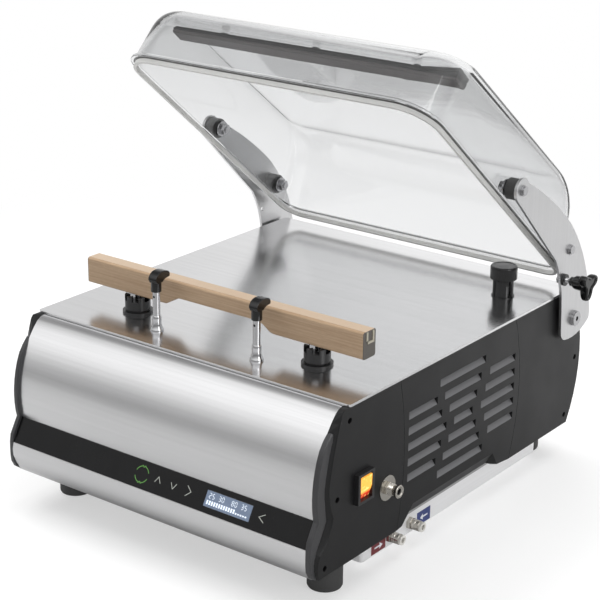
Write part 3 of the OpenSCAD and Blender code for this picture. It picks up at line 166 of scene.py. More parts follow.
def floor():
    """Pale floor that fades to white for the camera, with a light shadow.

    Mirrored rays see it dimmer towards the camera, and it glows a little under the object for the
    remaining rays, which lifts the undersides."""
    bpy.ops.mesh.primitive_plane_add(size=30.0, location=(0, 0, 0))
    obj = bpy.context.object
    obj.name = "floor"
    mat = bpy.data.materials.new("floor_paper")
    mat.use_nodes = True
    w = Web(mat.node_tree)
    mat.node_tree.nodes.clear()
    place = w.node("TexCoord").outputs["Object"]
    far = w.node("VectorMath", {0: place}, operation="LENGTH").outputs["Value"]
    path = w.node("LightPath")
    camera_ray = path.outputs["Is Camera Ray"]

    def paper(albedo, strength):
        lit = w.node("BsdfDiffuse", {"Color": (albedo, albedo, albedo, 1.0)})
        glow = w.node("Emission", {"Color": (1, 1, 1, 1), "Strength": strength})
        return w.node("AddShader", {0: lit.outputs[0], 1: glow.outputs[0]}).outputs[0]

    white = w.node("Emission", {"Color": (1, 1, 1, 1), "Strength": 1.0}).outputs[0]
    background = w.node("MixShader", {0: w.fade(far, 0.6, 1.3), 1: paper(0.52, 0.5), 2: white})
    mirrored = w.math("MAXIMUM", path.outputs["Is Glossy Ray"], path.outputs["Is Transmission Ray"])
    behind = w.fade(w.node("VectorMath", {
        0: place, 1: (-math.sin(AZIMUTH), math.cos(AZIMUTH), 0.0),
    }, operation="DOT_PRODUCT").outputs["Value"], -0.2, 0.4)
    reflected = w.node("MixShader", {0: behind, 1: paper(0.5, 0.02), 2: paper(0.5, 0.45)})
    bounce = paper(0.7, w.fade(far, 0.35, 0.75, 0.45, 0.0))
    lighting = w.node("MixShader", {0: mirrored, 1: bounce, 2: reflected.outputs[0]})
    plain = w.node("MixShader", {0: camera_ray, 1: lighting.outputs[0], 2: background.outputs[0]})
    out = w.node("OutputMaterial")
    mat.node_tree.links.new(plain.outputs[0], out.inputs["Surface"])
    obj.data.materials.append(mat)


floor()


# ---------------------------------------------------------------- finishes

def shown(r, g, b):
    """Linear colour of a display colour given in 0 to 255."""
    def line(v):
        v /= 255.0
        return v / 12.92 if v <= 0.04045 else ((v + 0.055) / 1.055) ** 2.4
    return line(r), line(g), line(b)


class Finish(Web):
    """A Principled material whose patterns run in the row frame's own metres."""

    def __init__(self, name, color, rough, metal=0.0, **sockets):
        self.mat = bpy.data.materials.new(name)
        self.mat.use_nodes = True
        super().__init__(self.mat.node_tree)
        self.bsdf = self.tree.nodes["Principled BSDF"]
        self.color, self.rough = color, rough
        self.put("Base Color", (*color, 1.0))
        self.put("Roughness", rough)
        self.put("Metallic", metal)
        for k, v in sockets.items():
            self.put(k.replace("_", " "), v)
        self.bumps = None

    def put(self, socket, value):
        if isinstance(value, bpy.types.NodeSocket):
            self.tree.links.new(value, self.bsdf.inputs[socket])
        else:
            self.bsdf.inputs[socket].default_value = value

    def noise(self, stretch, detail=2.0, rough=0.5, twist=0.0):
        """Noise of about one blob per 1/stretch metres along each axis, from 0 to 1."""
        place = self.node("Mapping", {"Vector": self.node("TexCoord").outputs["Object"],
                                      "Scale": stretch})
        return self.node("TexNoise", {
            "Vector": place.outputs[0], "Scale": 1.0, "Detail": detail, "Roughness": rough,
            "Distortion": twist,
        }).outputs[0]

    def shade(self, value, low, high, edges=(0.3, 0.7)):
        """Base colour from low to high times the plain colour as the value rises."""
        old = self.bsdf.inputs["Base Color"]
        source = old.links[0].from_socket if old.links else None
        factor = self.fade(value, *edges, low, high)
        n = self.node("Mix", {0: 1.0}, data_type="RGBA", blend_type="MULTIPLY")
        if source:
            self.tree.links.new(source, n.inputs[6])
        else:
            n.inputs[6].default_value = (*self.color, 1.0)
        grey = self.node("CombineColor", {0: factor, 1: factor, 2: factor})
        self.tree.links.new(grey.outputs[0], n.inputs[7])
        self.put("Base Color", n.outputs[2])
        return self

    def tone(self, value, color, edges=(0.3, 0.7)):
        """Base colour moves to another colour as the value rises."""
        old = self.bsdf.inputs["Base Color"]
        source = old.links[0].from_socket if old.links else None
        n = self.node("Mix", {0: self.fade(value, *edges), 7: (*color, 1.0)}, data_type="RGBA")
        if source:
            self.tree.links.new(source, n.inputs[6])
        else:
            n.inputs[6].default_value = (*self.color, 1.0)
        self.put("Base Color", n.outputs[2])
        return self

    def gloss(self, value, low, high, edges=(0.3, 0.7)):
        self.put("Roughness", self.fade(value, *edges, low, high))
        return self

    def bump(self, value, height, strength=1.0):
        """Relief of that height in metres."""
        inputs = {"Height": value, "Distance": height, "Strength": strength}
        if self.bumps:
            inputs["Normal"] = self.bumps
        self.bumps = self.node("Bump", inputs).outputs[0]
        self.put("Normal", self.bumps)
        return self

    def soft_edges(self, radius):
        self.bumps = self.node("Bevel", {"Radius": radius}, samples=4).outputs[0]
        self.put("Normal", self.bumps)
        return self


def brushed(name, level, rough, along, edge=0.0004, fine=1400.0, tint=1.01):
    """Satin steel or aluminium with a fine grain along one axis."""
    f = Finish(name, (level, level, level * tint), rough, 1.0)
    if edge:
        f.soft_edges(edge)

    def grain(cross, run):
        return tuple(run if i == along else cross for i in range(3))
    streaks = f.noise(grain(fine, 9.0), 2.0, 0.5)
    bands = f.noise(grain(240.0, 3.0), 3.0)
    cloud = f.noise((6.0, 6.0, 6.0), 2.0)
    f.shade(streaks, 0.985, 1.012).shade(bands, 0.978, 1.016).shade(cloud, 0.985, 1.015)
    f.gloss(streaks, rough * 0.97, rough * 1.03)
    f.bump(streaks, 0.000004, 0.1)
    return f


def moulded(name, color, rough, grain=1800.0, depth=0.00003, edge=0.0006, **sockets):
    """Moulded plastic with a fine spark-eroded texture."""
    f = Finish(name, color, rough, 0.0, **sockets)
    if edge:
        f.soft_edges(edge)
    pits = f.noise((grain, grain, grain), 2.0, 0.6)
    cloud = f.noise((14.0, 14.0, 14.0), 3.0)
    f.shade(pits, 0.9, 1.1).shade(cloud, 0.94, 1.06)
    f.gloss(cloud, rough * 0.9, rough * 1.12)
    f.bump(pits, depth, 0.5)
    return f


def plated(name, color, rough, edge=0.0003):
    f = Finish(name, color, rough, 1.0)
    f.soft_edges(edge)
    cloud = f.noise((400.0, 400.0, 400.0), 2.0)
    f.shade(cloud, 0.97, 1.02)
    f.gloss(cloud, rough * 0.9, rough * 1.15)
    return f


def give(finish, *names):
    mat = finish.mat if isinstance(finish, Finish) else finish
    for n in names:
        data = nodes[n].data
        data.materials.clear()
        data.materials.append(mat)


def where(f, axis):
    """One coordinate of the surface in the row frame, in metres."""
    return f.node("SeparateXYZ", {0: f.node("TexCoord").outputs["Object"]}).outputs[axis]


def facing(f, axis):
    """How far the surface itself faces along one axis of the row frame."""
    normal = f.node("NewGeometry").outputs["True Normal"]
    return f.node("SeparateXYZ", {0: normal}).outputs[axis]


steel_front = brushed("stainless_front", 0.78, 0.26, 0)
steel_top = brushed("stainless_top", 0.76, 0.19, 0, edge=0.0006)
steel_arm = brushed("stainless_arm", 0.59, 0.33, 2, edge=0.0008)
galvanised = brushed("galvanised", 0.50, 0.42, 1)
tray = brushed("tray_steel", 0.93, 0.36, 1, edge=0.0008)
tray.put("Metallic", 0.35)
give(steel_front, "front_panel", "lower_front_panel", "rear_panel")
give(steel_top, "top_plate")
give(steel_arm, "lid_arm_left", "lid_arm_right")
give(galvanised, "chassis")
give(tray, "base_tray")

PANEL_GREY = shown(23, 23, 24)
panel = moulded("panel_plastic", PANEL_GREY, 0.42, edge=0.001, Specular_IOR_Level=0.3)
give(panel, "right_panel_front", "right_panel_rear", "left_panel_front", "left_panel_rear")
louvre = moulded("louvre_plastic", PANEL_GREY, 0.42, edge=0.001, Specular_IOR_Level=0.3)
# Fin faces that look upwards turn lighter grey: a painted sheen, standing in for the bright room those faces
# reflect.
louvre.tone(facing(louvre, 2), shown(112, 112, 114), (0.25, 0.4))
give(louvre, "right_vent_cover", "left_vent_cover")
black = moulded("black_plastic", shown(34, 34, 35), 0.32)
give(black, "switch_body", "power_inlet", "lift_collars", "knob_bushing", "motor_fan")
gloss_black = moulded("black_gloss", shown(14, 14, 15), 0.1, depth=0.000003, edge=0.0005)
give(gloss_black, "suction_cap", "suction_port", "nozzle_head_left", "nozzle_head_right",
     "star_knob")
rubber = moulded("foot_rubber", shown(60, 60, 60), 0.6, grain=1200.0, depth=0.00005)
give(rubber, "feet", "arm_spacers")
fastener = plated("blackened_steel", (0.16, 0.16, 0.165), 0.28)
give(fastener, "panel_screws")

strip = Finish("strip_film", shown(20, 20, 21), 0.24, Specular_IOR_Level=0.22)
strip.shade(strip.noise((30.0, 30.0, 30.0)), 0.85, 1.1)
strip.gloss(strip.noise((60.0, 60.0, 60.0)), 0.22, 0.27)
give(strip, "control_strip")

nickel = plated("nickel", (0.54, 0.515, 0.47), 0.13)
give(nickel, "gas_inlet_plate", "gas_inlet", "air_fitting_front", "air_fitting_rear")
bright = plated("bright_steel", (0.42, 0.42, 0.43), 0.16)
give(bright, "lid_bolts", "hinge_screws", "hinge_shaft", "counter_screws")
post = plated("post_grey", (0.52, 0.52, 0.53), 0.17)
give(post, "nozzle_posts", "lift_pistons")
ring_plastic = moulded("ring_plastic", shown(214, 212, 206), 0.35)
give(ring_plastic, "release_ring_front", "release_ring_rear")
aluminium = brushed("aluminium", 0.55, 0.35, 0)
give(aluminium, "lift_cylinders", "valve_block")
anodised = brushed("anodised_grey", 0.05, 0.45, 0)
give(anodised, "counter_bar")

board = Finish("bar_board", shown(192, 165, 136), 0.5)
board.soft_edges(0.0006)
grain = board.noise((10.0, 480.0, 480.0), 4.0, 0.62, 0.3)
fleck = board.noise((160.0, 1600.0, 1600.0), 2.0)
board.tone(grain, shown(174, 146, 117)).shade(fleck, 0.95, 1.05)
board.gloss(grain, 0.42, 0.6).bump(grain, 0.00004, 0.35)
bar_low, bar_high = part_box("seal_bar")
bar_mid, bar_half = (bar_low[0] + bar_high[0]) / 2, (bar_high[0] - bar_low[0]) / 2
from_end = board.math("ABSOLUTE", board.math("SUBTRACT", where(board, 0), bar_mid))
board.tone(from_end, shown(92, 88, 83), (bar_half - 0.0009, bar_half - 0.0003))
give(board, "seal_bar")
tape = Finish("heat_tape", shown(194, 171, 146), 0.4)
weave = tape.noise((1400.0, 1400.0, 1400.0))
tape.shade(weave, 0.93, 1.04)
give(tape, "teflon_tape")
wire = plated("wire_alloy", (0.6, 0.58, 0.55), 0.25)
give(wire, "sealing_wires")
brass = plated("contact_brass", (0.60, 0.56, 0.46), 0.35)
give(brass, "bar_contacts", "hinge_bearings")

acrylic = Finish("clear_acrylic", (0.79, 0.795, 0.8), 0.0, 0.0, Transmission_Weight=1.0, IOR=1.49)
lamp_light = acrylic.node("BsdfTransparent", {"Color": (0.93, 0.93, 0.93, 1.0)})
pass_lamps = acrylic.node("MixShader", {
    0: acrylic.node("LightPath").outputs["Is Shadow Ray"],
    1: acrylic.bsdf.outputs[0], 2: lamp_light.outputs[0],
})
acrylic.tree.links.new(pass_lamps.outputs[0],
                       acrylic.tree.nodes["Material Output"].inputs["Surface"])
give(acrylic, "lid_dome")
seal = moulded("seal_rubber", shown(205, 205, 203), 0.45, edge=0.0)
give(seal, "lid_gasket")
pad = moulded("pad_silicone", shown(84, 80, 80), 0.5)
give(pad, "counter_pad")
spring = plated("spring_steel", (0.3, 0.3, 0.31), 0.35)
give(spring, "lid_springs")
pump = moulded("pump_casting", shown(150, 154, 158), 0.5, grain=900.0, depth=0.0001, Metallic=0.6)
give(pump, "vacuum_pump")
motor = moulded("motor_paint", shown(92, 110, 128), 0.4)
give(motor, "pump_motor", "exhaust_filter")
copper = moulded("coil_copper", shown(184, 120, 80), 0.35, Metallic=0.7)
give(copper, "transformer")
mask = moulded("board_green", shown(40, 110, 66), 0.35)
give(mask, "control_board")
hose = moulded("hose_rubber", shown(52, 52, 52), 0.55)
give(hose, "pipework")

amber = Finish("rocker_amber", shown(250, 172, 66), 0.2)
rocker_low, rocker_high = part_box("rocker")
amber_mid = (rocker_low[2] + rocker_high[2]) / 2
amber.tone(amber.math("SUBTRACT", amber_mid - 0.004, where(amber, 2)), shown(196, 50, 36),
           (0.0, 0.006))
amber.tone(amber.noise((160.0, 160.0, 160.0), 2.0), shown(255, 214, 120), (0.5, 0.7))
amber.tree.links.new(amber.bsdf.inputs["Base Color"].links[0].from_socket,
                     amber.bsdf.inputs["Emission Color"])
amber.put("Emission Strength", 0.75)
give(amber, "rocker")
glass = Finish("display_glass", shown(126, 142, 168), 0.15)
glass.shade(glass.noise((200.0, 200.0, 200.0)), 0.95, 1.05)
give(glass, "display")


# ---------------------------------------------------------------- shading

def even_shading(crease):
    """Joins split facets and shades curved faces smooth, with edges over the crease angle sharp."""
    tree = bpy.data.node_groups.new("even_shading_%d" % crease, "GeometryNodeTree")
    for way in ("INPUT", "OUTPUT"):
        tree.interface.new_socket("Geometry", in_out=way, socket_type="NodeSocketGeometry")
    new, join = tree.nodes.new, tree.links.new
    start, end = new("NodeGroupInput"), new("NodeGroupOutput")
    weld = new("GeometryNodeMergeByDistance")
    weld.inputs["Distance"].default_value = 0.000003
    faces = new("GeometryNodeSetShadeSmooth")
    edges = new("GeometryNodeSetShadeSmooth")
    edges.domain = "EDGE"
    edges.inputs["Shade Smooth"].default_value = False
    steep = new("FunctionNodeCompare")
    steep.operation = "GREATER_THAN"
    steep.inputs[1].default_value = math.radians(crease)
    join(new("GeometryNodeInputMeshEdgeAngle").outputs[0], steep.inputs[0])
    join(start.outputs[0], weld.inputs["Geometry"])
    join(weld.outputs[0], faces.inputs["Geometry"])
    join(faces.outputs[0], edges.inputs["Geometry"])
    join(steep.outputs[0], edges.inputs["Selection"])
    join(edges.outputs[0], end.inputs[0])
    return tree


SOFT, CRISP, BROAD = even_shading(33), even_shading(14), even_shading(40)


def shade_evenly(obj, shading=SOFT):
    obj.modifiers.new("even_shading", "NODES").node_group = shading
    level = obj.modifiers.new("even_normals", "WEIGHTED_NORMAL")
    level.keep_sharp = True
    level.weight = 80


for key, obj in nodes.items():
    shade_evenly(obj, CRISP if key.startswith(("left_", "right_")) else SOFT)


# ---------------------------------------------------------------- pieces

class Shape:
    """Mesh of one new piece, put together from plain solids in the machine's millimetres."""

    def __init__(self):
        self.verts, self.faces = [], []

    def rings(self, rings, closed=False):
        """Skin through rings of equal length, capped at both ends unless it closes on itself."""
        base, n, m = len(self.verts), len(rings[0]), len(rings)
        self.verts += [tuple(p) for ring in rings for p in ring]
        for i in range(m if closed else m - 1):
            for j in range(n):
                k, up_one = (j + 1) % n, (i + 1) % m
                self.faces.append([base + i * n + j, base + i * n + k,
                                   base + up_one * n + k, base + up_one * n + j])
        if not closed:
            self.faces.append([base + j for j in range(n)])
            self.faces.append([base + (m - 1) * n + j for j in range(n)])
        return self

    def turned(self, profile, place, axis=2, steps=40, wave=None, closed=False, start=0.0):
        """Turned solid round an axis through the place; profile holds (radius, distance)."""
        rings = []
        for r, h in profile:
            ring = []
            for j in range(steps):
                t = start + 2 * math.pi * j / steps
                k = r * wave(t, h) if wave else r
                u, v = k * math.cos(t), k * math.sin(t)
                q = ((h, u, v), (u, h, v), (u, v, h))[axis]
                ring.append([a + b for a, b in zip(place, q)])
            rings.append(ring)
        return self.rings(rings, closed)

    def prism(self, outline, place, u, v, out, low, high):
        """Flat outline in the plane of u and v, from low to high along out."""
        def ring(h):
            return [[p + a * x + b * y + c * h for p, a, b, c in zip(place, u, v, out)]
                    for x, y in outline]
        return self.rings([ring(low), ring(high)])

    def piece(self, name, body, finish, bevel=0.0, shading=SOFT):
        mesh = bpy.data.meshes.new(name)
        mesh.from_pydata([at(*p) for p in self.verts], [], self.faces)
        bm = bmesh.new()
        bm.from_mesh(mesh)
        bmesh.ops.recalc_face_normals(bm, faces=bm.faces)
        bm.to_mesh(mesh)
        bm.free()
        mesh.materials.append(finish.mat)
        obj = bpy.data.objects.new(name, mesh)
        scene.collection.objects.link(obj)
        if bevel:
            mod = obj.modifiers.new("round_edges", "BEVEL")
            mod.width, mod.segments = bevel * MM, 3
            mod.limit_method, mod.angle_limit = "ANGLE", math.radians(35)
        shade_evenly(obj, shading)
        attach(obj, body)
        return obj


X, Y, Z = (1, 0, 0), (0, 1, 0), (0, 0, 1)


def machine(v):
    """The machine's millimetres of a point of the row frame."""
    return v[0] / MM + 17.0, v[1] / MM + 229.522, v[2] / MM


# Marks of the control strip, in the plane of its sloping face
SLOPE = (0.0, 0.5007, 0.8656)
OUT = (0.0, -0.8656, 0.5007)


def face_point(node):
    """Point of the plane of a node's outer face at the machine's middle, half way up."""
    low, high = (machine(v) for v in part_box(node))
    reach = max(sum(a * b for a, b in zip(machine(v.co), OUT)) for v in nodes[node].data.vertices)
    rise = sum(a * (b + c) / 2 for a, b, c in zip(SLOPE, low, high))
    return [OUT[i] * reach + SLOPE[i] * rise for i in range(3)]


strip_face = face_point("control_strip")


def stroke(points, width):
    """Outline of a line of that width through the points."""
    left, right_side = [], []
    for i, (x, y) in enumerate(points):
        ax, ay = points[max(i - 1, 0)]
        bx, by = points[min(i + 1, len(points) - 1)]
        length = math.hypot(bx - ax, by - ay)
        nx, ny = -(by - ay) / length, (bx - ax) / length
        wide = width / 2
        if 0 < i < len(points) - 1:
            turn = math.hypot(x - ax, y - ay) * math.hypot(bx - x, by - y)
            dot = ((x - ax) * (bx - x) + (y - ay) * (by - y)) / turn
            wide /= max(math.sqrt((1 + dot) / 2), 0.4)
        left.append((x + nx * wide, y + ny * wide))
        right_side.append((x - nx * wide, y - ny * wide))
    return left + right_side[::-1]


def arc(x, y, r, a, b, n=14):
    return [(x + r * math.cos(math.radians(a + (b - a) * i / n)),
             y + r * math.sin(math.radians(a + (b - a) * i / n))) for i in range(n + 1)]


def print_on(face, name, outlines, finish, low=0.02, high=0.12, u=X, v=SLOPE, out=OUT):
    shape = Shape()
    for outline in outlines:
        shape.prism(outline, face, u, v, out, low, high)
    return shape.piece(name, "root", finish)


def glowing(name, color, strength):
    f = Finish(name, color, 0.4)
    f.put("Emission Color", (*color, 1.0))
    f.put("Emission Strength", strength)
    f.shade(f.noise((300.0, 300.0, 300.0)), 0.92, 1.05)
    return f


green = glowing("start_green", shown(98, 158, 74), 0.35)
pale = glowing("key_marks", shown(184, 188, 180), 0.22)
print_on(strip_face, "start_ring", [
    stroke(arc(-20, 0, 9.6, 20, 76), 0.75), stroke(arc(-20, 0, 9.6, 104, 160), 0.75),
    stroke(arc(-20, 0, 9.6, 200, 256), 0.75), stroke(arc(-20, 0, 9.6, 284, 340), 0.75),
    stroke([(-22.4, 10.6), (-20, 8.4), (-17.6, 10.6)], 0.8),
    stroke([(-22.4, -10.6), (-20, -8.4), (-17.6, -10.6)], 0.8),
], green)


def chevron(x, y, half_w, half_h, way):
    """Arrowhead that points up, down, left or right."""
    tip = {"up": (0, half_h), "down": (0, -half_h), "left": (-half_w, 0), "right": (half_w, 0)}[way]
    if way in ("up", "down"):
        ends = [(-half_w, -tip[1]), (half_w, -tip[1])]
    else:
        ends = [(-tip[0], -half_h), (-tip[0], half_h)]
    return stroke([(x + ends[0][0], y + ends[0][1]), (x + tip[0], y + tip[1]),
                   (x + ends[1][0], y + ends[1][1])], 0.7)


print_on(strip_face, "key_chevrons", [
    chevron(5, 0.5, 4.2, 3.4, "up"), chevron(28, -0.5, 4.2, 3.4, "down"),
    chevron(51, 0, 3.4, 6.0, "right"), chevron(156, 0, 3.8, 4.6, "left"),
], pale)

# Display: figures over a bar scale
display_low, display_high = (machine(v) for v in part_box("display"))
display_face = face_point("display")
display_x0, display_x1 = display_low[0] + 3.0, display_high[0] - 3.0
SEGMENTS = {"a": ((0, 2), (1, 2)), "b": ((1, 2), (1, 1)), "c": ((1, 1), (1, 0)),
            "d": ((0, 0), (1, 0)), "e": ((0, 0), (0, 1)), "f": ((0, 1), (0, 2)),
            "g": ((0, 1), (1, 1))}
FIGURES = {"0": "abcdef", "2": "abged", "3": "abgcd", "5": "afgcd", "8": "abcdefg"}


def figure(digit, x, y, w, h):
    """Seven-segment figure, as one outline for each lit segment."""
    bars = []
    for part in FIGURES[digit]:
        (ax, ay), (bx, by) = SEGMENTS[part]
        trim_x, trim_y = (0.45 if ay == by else 0.0), (0.45 if ax == bx else 0.0)
        low_y, high_y = min(ay, by) * h / 2 + trim_y, max(ay, by) * h / 2 - trim_y
        bars.append(stroke([(x + ax * w + trim_x, y + (high_y if ax == bx else ay * h / 2)),
                            (x + bx * w - trim_x, y + (low_y if ax == bx else by * h / 2))], 0.7))
    return bars


lit = glowing("display_marks", shown(226, 234, 244), 0.55)
figures, step = [], 4.6
for i, digit in enumerate("25 30  80 35"):
    if digit != " ":
        figures += figure(digit, display_x0 + 1.5 + step * i, 1.0, 2.6, 5.6)
cells = 17
for i in range(cells):
    x = display_x0 + (display_x1 - display_x0) * i / cells
    high_cell = -1.6 if i < 12 else -4.6
    figures.append([(x, -6.4), (x + 2.2, -6.4), (x + 2.2, high_cell), (x, high_cell)])
print_on(display_face, "display_figures", figures, lit)

# Coloured plates with a plain arrow beside the two air fittings
enamel_blue = moulded("enamel_blue", shown(44, 58, 116), 0.35, depth=0.00001, edge=0.0)
enamel_red = moulded("enamel_red", shown(112, 40, 46), 0.35, depth=0.00001, edge=0.0)
enamel_white = moulded("enamel_white", shown(222, 224, 230), 0.4, depth=0.00001, edge=0.0)
tray_face = machine(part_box("base_tray")[1])[0]


def label_plate(name, y0, y1, z0, z1, ground, points_in):
    corners = [(y0, z0), (y1, z0), (y1, z1), (y0, z1)]
    print_on((tray_face, 0, 0), name + "_plate", [corners], ground, 0.0, 0.4, Y, Z, X)
    mid = (y0 + y1) / 2
    z = (z0 + z1) / 2
    way = -1 if points_in else 1
    arrow = [(mid - way * 8, z - 1), (mid + way * 2, z - 1), (mid + way * 2, z - 4),
             (mid + way * 8, z), (mid + way * 2, z + 4), (mid + way * 2, z + 1),
             (mid - way * 8, z + 1)]
    print_on((tray_face, 0, 0), name + "_arrow", [arrow], enamel_white, 0.41, 0.5, Y, Z, X)


PLATE_FOOT = 12.0
label_plate("inflow", 178.0, 206.0, PLATE_FOOT, 29.0, enamel_blue, True)
label_plate("outflow", 84.0, 112.0, PLATE_FOOT, 26.0, enamel_red, False)


# Moulded lips of the side panels, proud of the steel front's ends
def front_path():
    """Front edge of the side panel from top to bottom, as (y, z), at its inner face."""
    mesh = nodes["right_panel_front"].data
    inner = min(machine(v.co)[0] for v in mesh.vertices)
    found = {}
    for face in mesh.polygons:
        if face.normal.x > 0.1 and face.normal.y < -0.02:
            for i in face.vertices:
                x, y, z = machine(mesh.vertices[i].co)
                if abs(x - inner) < 0.05:
                    found[round(z, 1)] = (y, z)
    return inner, [found[z] for z in sorted(found, reverse=True) if found[z][0] < 0]


panel_inner, edge_path = front_path()
furthest = min(y for y, z in edge_path)
LIP_PROUD = 4.3
LIP_RISE = 26.0  # length over which the lip rises from the panel at each end
LIP_SINK = 0.5  # how far its ends start below the panel's face


def lip_ring(i, side):
    """Section of the lip at one point of the panel's edge."""
    y, z = edge_path[i]
    ay, az = edge_path[max(i - 1, 0)]
    by, bz = edge_path[min(i + 1, len(edge_path) - 1)]
    length = math.hypot(by - ay, bz - az)
    ny, nz = (bz - az) / length, -(by - ay) / length
    from_end = min(math.dist(edge_path[i], edge_path[k]) for k in (0, -1))
    swell = math.sin(min(1.0, from_end / LIP_RISE) * math.pi / 2)
    proud = min(LIP_PROUD, (y - furthest) * 0.8) * swell - LIP_SINK * (1 - swell)
    section = [(-0.7, -1.5), (-0.7, proud - 0.5), (-0.2, proud), (4.6, proud - 0.3),
               (5.8, proud - 1.6), (6.4, -2.0 - 8.0 * swell)]
    return [(side * (panel_inner + x), y + ny * h, z + nz * h) for x, h in section]


# The lips are the side panels' own dark plastic made lighter: painted light, for the light the bevelled lip
# catches.
lip_plastic = moulded("lip_plastic", shown(56, 56, 58), 0.36, edge=0.0008)
for side, word in ((-1, "left"), (1, "right")):
    Shape().rings([lip_ring(i, side) for i in range(len(edge_path))]).piece(
        word + "_edge_lip", "root", lip_plastic)


# Clamping knob: three lobes with a raised rim round a sunk face
knob_high = machine(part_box("star_knob")[1])
bush_low, bush_high = (machine(v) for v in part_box("knob_bushing"))
knob_y, knob_z = (bush_low[1] + bush_high[1]) / 2, (bush_low[2] + bush_high[2]) / 2
lobe = max((math.hypot(y - knob_y, z - knob_z), math.atan2(z - knob_z, y - knob_y))
           for x, y, z in (machine(v.co) for v in nodes["star_knob"].data.vertices))
KNOB_ROOT, KNOB_NECK = 234.5, 252.0  # x of the stem's inner end and of the head's neck


def star(t, h):
    swell = ((1 + math.cos(3 * (t - lobe[1]))) / 2) ** 1.5
    return 0.46 + 0.54 * swell


tall = knob_high[0]
knob = Shape().turned([(3.0, KNOB_ROOT), (3.0, KNOB_NECK - 0.2)], (0, knob_y, knob_z), 0, 24)
knob.turned([(5.2, KNOB_NECK - 0.4), (6.0, KNOB_NECK + 0.4), (6.0, KNOB_NECK + 3), (6.6, KNOB_NECK + 4),
             (8.6, KNOB_NECK + 7), (9.4, tall - 8)], (0, knob_y, knob_z), 0, 32)
knob.turned([(lobe[0] * k, x) for k, x in (
    (0.42, tall - 13.5), (0.72, tall - 11.5), (0.92, tall - 9.8), (0.985, tall - 8.4),
    (1.0, tall - 7), (1.0, tall - 4), (0.975, tall - 1.8), (0.92, tall - 0.5), (0.86, tall - 0.1),
    (0.80, tall - 0.5), (0.76, tall - 1.8), (0.72, tall - 2.2))],
    (0, knob_y, knob_z), 0, 96, star)
knob_piece = knob.piece("knob_star", "knob", gloss_black, shading=BROAD)
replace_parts(knob_piece, "star_knob")
thread = Shape()
turns = [(3.02 if i % 2 else 3.0 + 0.45, 244.8 + 0.5 * i) for i in range(14)]
thread.turned(turns, (0, knob_y, knob_z), 0, 24).piece("knob_thread", "knob", post, shading=CRISP)


# Suction port: slotted sleeve with a ribbed cap
cap_low, cap_high = (machine(v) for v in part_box("suction_cap"))
plate_high = machine(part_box("top_plate")[1])[2]
port_x, port_y = (cap_low[0] + cap_high[0]) / 2, (cap_low[1] + cap_high[1]) / 2
cap_r = (cap_high[0] - cap_low[0]) / 2


def slots(t, h):
    """Four upright grooves in the sleeve."""
    near = abs((math.degrees(t) - 20.0) % 90.0 - 45.0)
    return 0.84 if near < 8.0 and h > 2.0 else 1.0


def ribs(t, h):
    return 1.0 - 0.012 * (0.5 + 0.5 * math.cos(36 * t)) if cap_low[2] - 2 < h < cap_high[2] - 2.6 else 1.0


sleeve = Shape().turned([(14.5, 0.0), (14.5, 1.0), (14.1, 1.4), (13.1, 1.5), (13.1, 2.4), (13.1, 30.0)],
                        (port_x, port_y, plate_high), 2, 120, slots)
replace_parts(sleeve.piece("suction_sleeve", "root", gloss_black), "suction_port")
top, skirt = cap_high[2] - 0.5, cap_low[2] - 4.0
cap = Shape().turned([
    (14.4, skirt), (cap_r - 0.7, skirt), (cap_r, skirt + 0.7), (cap_r, skirt + 2.1),
    (cap_r, top - 2.4), (cap_r, top - 1.5), (cap_r - 0.5, top - 0.5), (cap_r - 1.6, top),
    (cap_r - 3.0, top + 0.05), (cap_r - 3.4, top - 0.45), (cap_r - 4.2, top - 0.5), (5.0, top - 0.3),
    (2.0, top - 0.2)], (port_x, port_y, 0), 2, 144, ribs)
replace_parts(cap.piece("suction_lid", "root", gloss_black), "suction_cap")

# Nozzle heads: a socket on the post and a bill that bends over the bar
HEAD_SIDE = [(5.6, 11.0), (7.4, 13.0), (10.5, 14.4), (14.0, 14.9), (17.6, 15.2), (18.2, 18.4),
             (17.2, 21.2), (14.0, 23.2), (9.0, 24.4), (4.0, 24.6), (-1.0, 23.6), (-4.8, 21.0),
             (-7.0, 17.4), (-7.4, 14.6), (-5.8, 13.2), (-5.6, 11.0)]
head_low = machine(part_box("nozzle_head_left")[0])
HEAD_BACK = 7.5  # from the front of a head's box to its swivel axis
head_z = head_low[2]
head_y = head_low[1] + HEAD_BACK
for word in ("left", "right"):
    low, high = (machine(v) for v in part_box("nozzle_head_" + word))
    x = (low[0] + high[0]) / 2
    head = Shape().prism(HEAD_SIDE, (x, head_y, head_z), Y, Z, X, -6.0, 6.0)
    obj = head.piece("nozzle_bill_" + word, "nozzle_" + word, gloss_black, bevel=0.9)
    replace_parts(obj, "nozzle_head_" + word)
    Shape().turned([(4.9, 0.4), (6.0, 0.0), (6.3, 0.5), (6.3, 11.0), (5.6, 12.5)], (x, head_y, head_z),
                   2, 40).piece("nozzle_socket_" + word, "nozzle_" + word, gloss_black)


# Gas inlet: nut, threaded barrel and release collar round a bore
gas_low, gas_high = (machine(v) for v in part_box("gas_inlet"))
gas_y, gas_z = (gas_low[1] + gas_high[1]) / 2, (gas_low[2] + gas_high[2]) / 2
gas_x = machine(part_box("gas_inlet_plate")[1])[0]
end_x = gas_high[0]


def ridges(x0, x1, r, depth, pitch):
    """Profile of fine round ridges along a barrel."""
    count = int(round((x1 - x0) / pitch)) * 2
    return [(r - (depth if i % 2 else 0.0), x0 + (x1 - x0) * i / count) for i in range(count + 1)]


def knurl(teeth, depth):
    return lambda t, h: 1.0 - depth * (0.5 + 0.5 * math.cos(teeth * t))


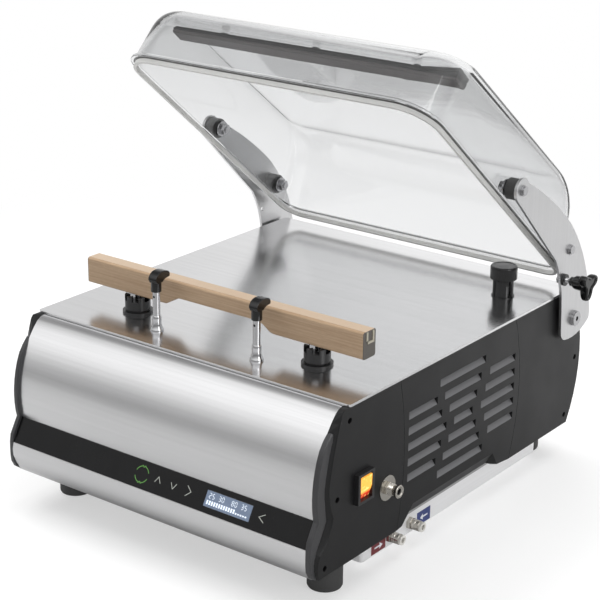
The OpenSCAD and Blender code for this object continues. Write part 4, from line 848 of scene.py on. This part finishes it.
inlet = Shape()
inlet.turned([(3.8, gas_x), (8.2, gas_x), (8.6, gas_x + 0.5), (8.6, gas_x + 3.4), (8.0, gas_x + 4.0),
              (3.8, gas_x + 4.0)], (0, gas_y, gas_z), 0, 6, start=math.radians(30))
inlet.turned([(3.8, gas_x + 3.9)] + ridges(gas_x + 4.0, gas_x + 9.5, 6.5, 0.55, 1.1)
             + [(5.2, gas_x + 10.0), (5.2, gas_x + 11.4), (3.8, gas_x + 11.4)], (0, gas_y, gas_z), 0, 48)
inlet.turned([(4.2, gas_x + 11.2), (6.6, gas_x + 11.2), (7.2, gas_x + 11.8), (7.2, gas_x + 12.6),
              (8.0, gas_x + 13.0), (8.0, end_x - 0.8), (7.4, end_x - 0.1), (5.6, end_x - 0.1),
              (4.9, end_x - 1.0), (4.2, end_x - 1.2)], (0, gas_y, gas_z), 0, 72, knurl(24, 0.02), closed=True)
inlet.turned([(6.0, 208.0), (6.0, gas_x + 0.1)], (0, gas_y, gas_z), 0, 24)
inlet_piece = inlet.piece("gas_coupling", "root", nickel, shading=CRISP)
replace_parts(inlet_piece, "gas_inlet")
for word in ("front", "rear"):
    low, high = (machine(v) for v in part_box("air_fitting_" + word))
    place = (0, (low[1] + high[1]) / 2, (low[2] + high[2]) / 2)
    x0, x1 = tray_face, high[0]
    fitting = Shape()
    fitting.turned([(3.4, x0), (7.6, x0), (8.0, x0 + 0.5), (8.0, x0 + 4.4), (7.5, x0 + 5.0),
                    (3.4, x0 + 5.0)], place, 0, 6, start=math.radians(30))
    fitting.turned([(3.4, x0 + 4.9), (5.6, x0 + 5.0), (5.6, x0 + 6.6), (6.5, x0 + 7.0),
                    (6.5, x0 + 10.2), (6.1, x0 + 10.6), (6.1, x0 + 11.4), (6.5, x0 + 11.8),
                    (6.5, x1 - 0.7), (6.0, x1), (5.7, x1), (5.7, x0 + 9.6), (3.4, x0 + 9.6)],
                   place, 0, 56, closed=True)
    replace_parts(fitting.piece("air_coupling_" + word, "root", nickel, shading=CRISP),
                "air_fitting_" + word)
ring_seal = Shape().turned([(3.0, end_x - 5.0), (4.15, end_x - 5.0), (4.15, end_x - 1.6), (3.0, end_x - 1.6)],
                           (0, gas_y, gas_z), 0, 32, closed=True)
ring_seal.piece("gas_seal", "root", black)
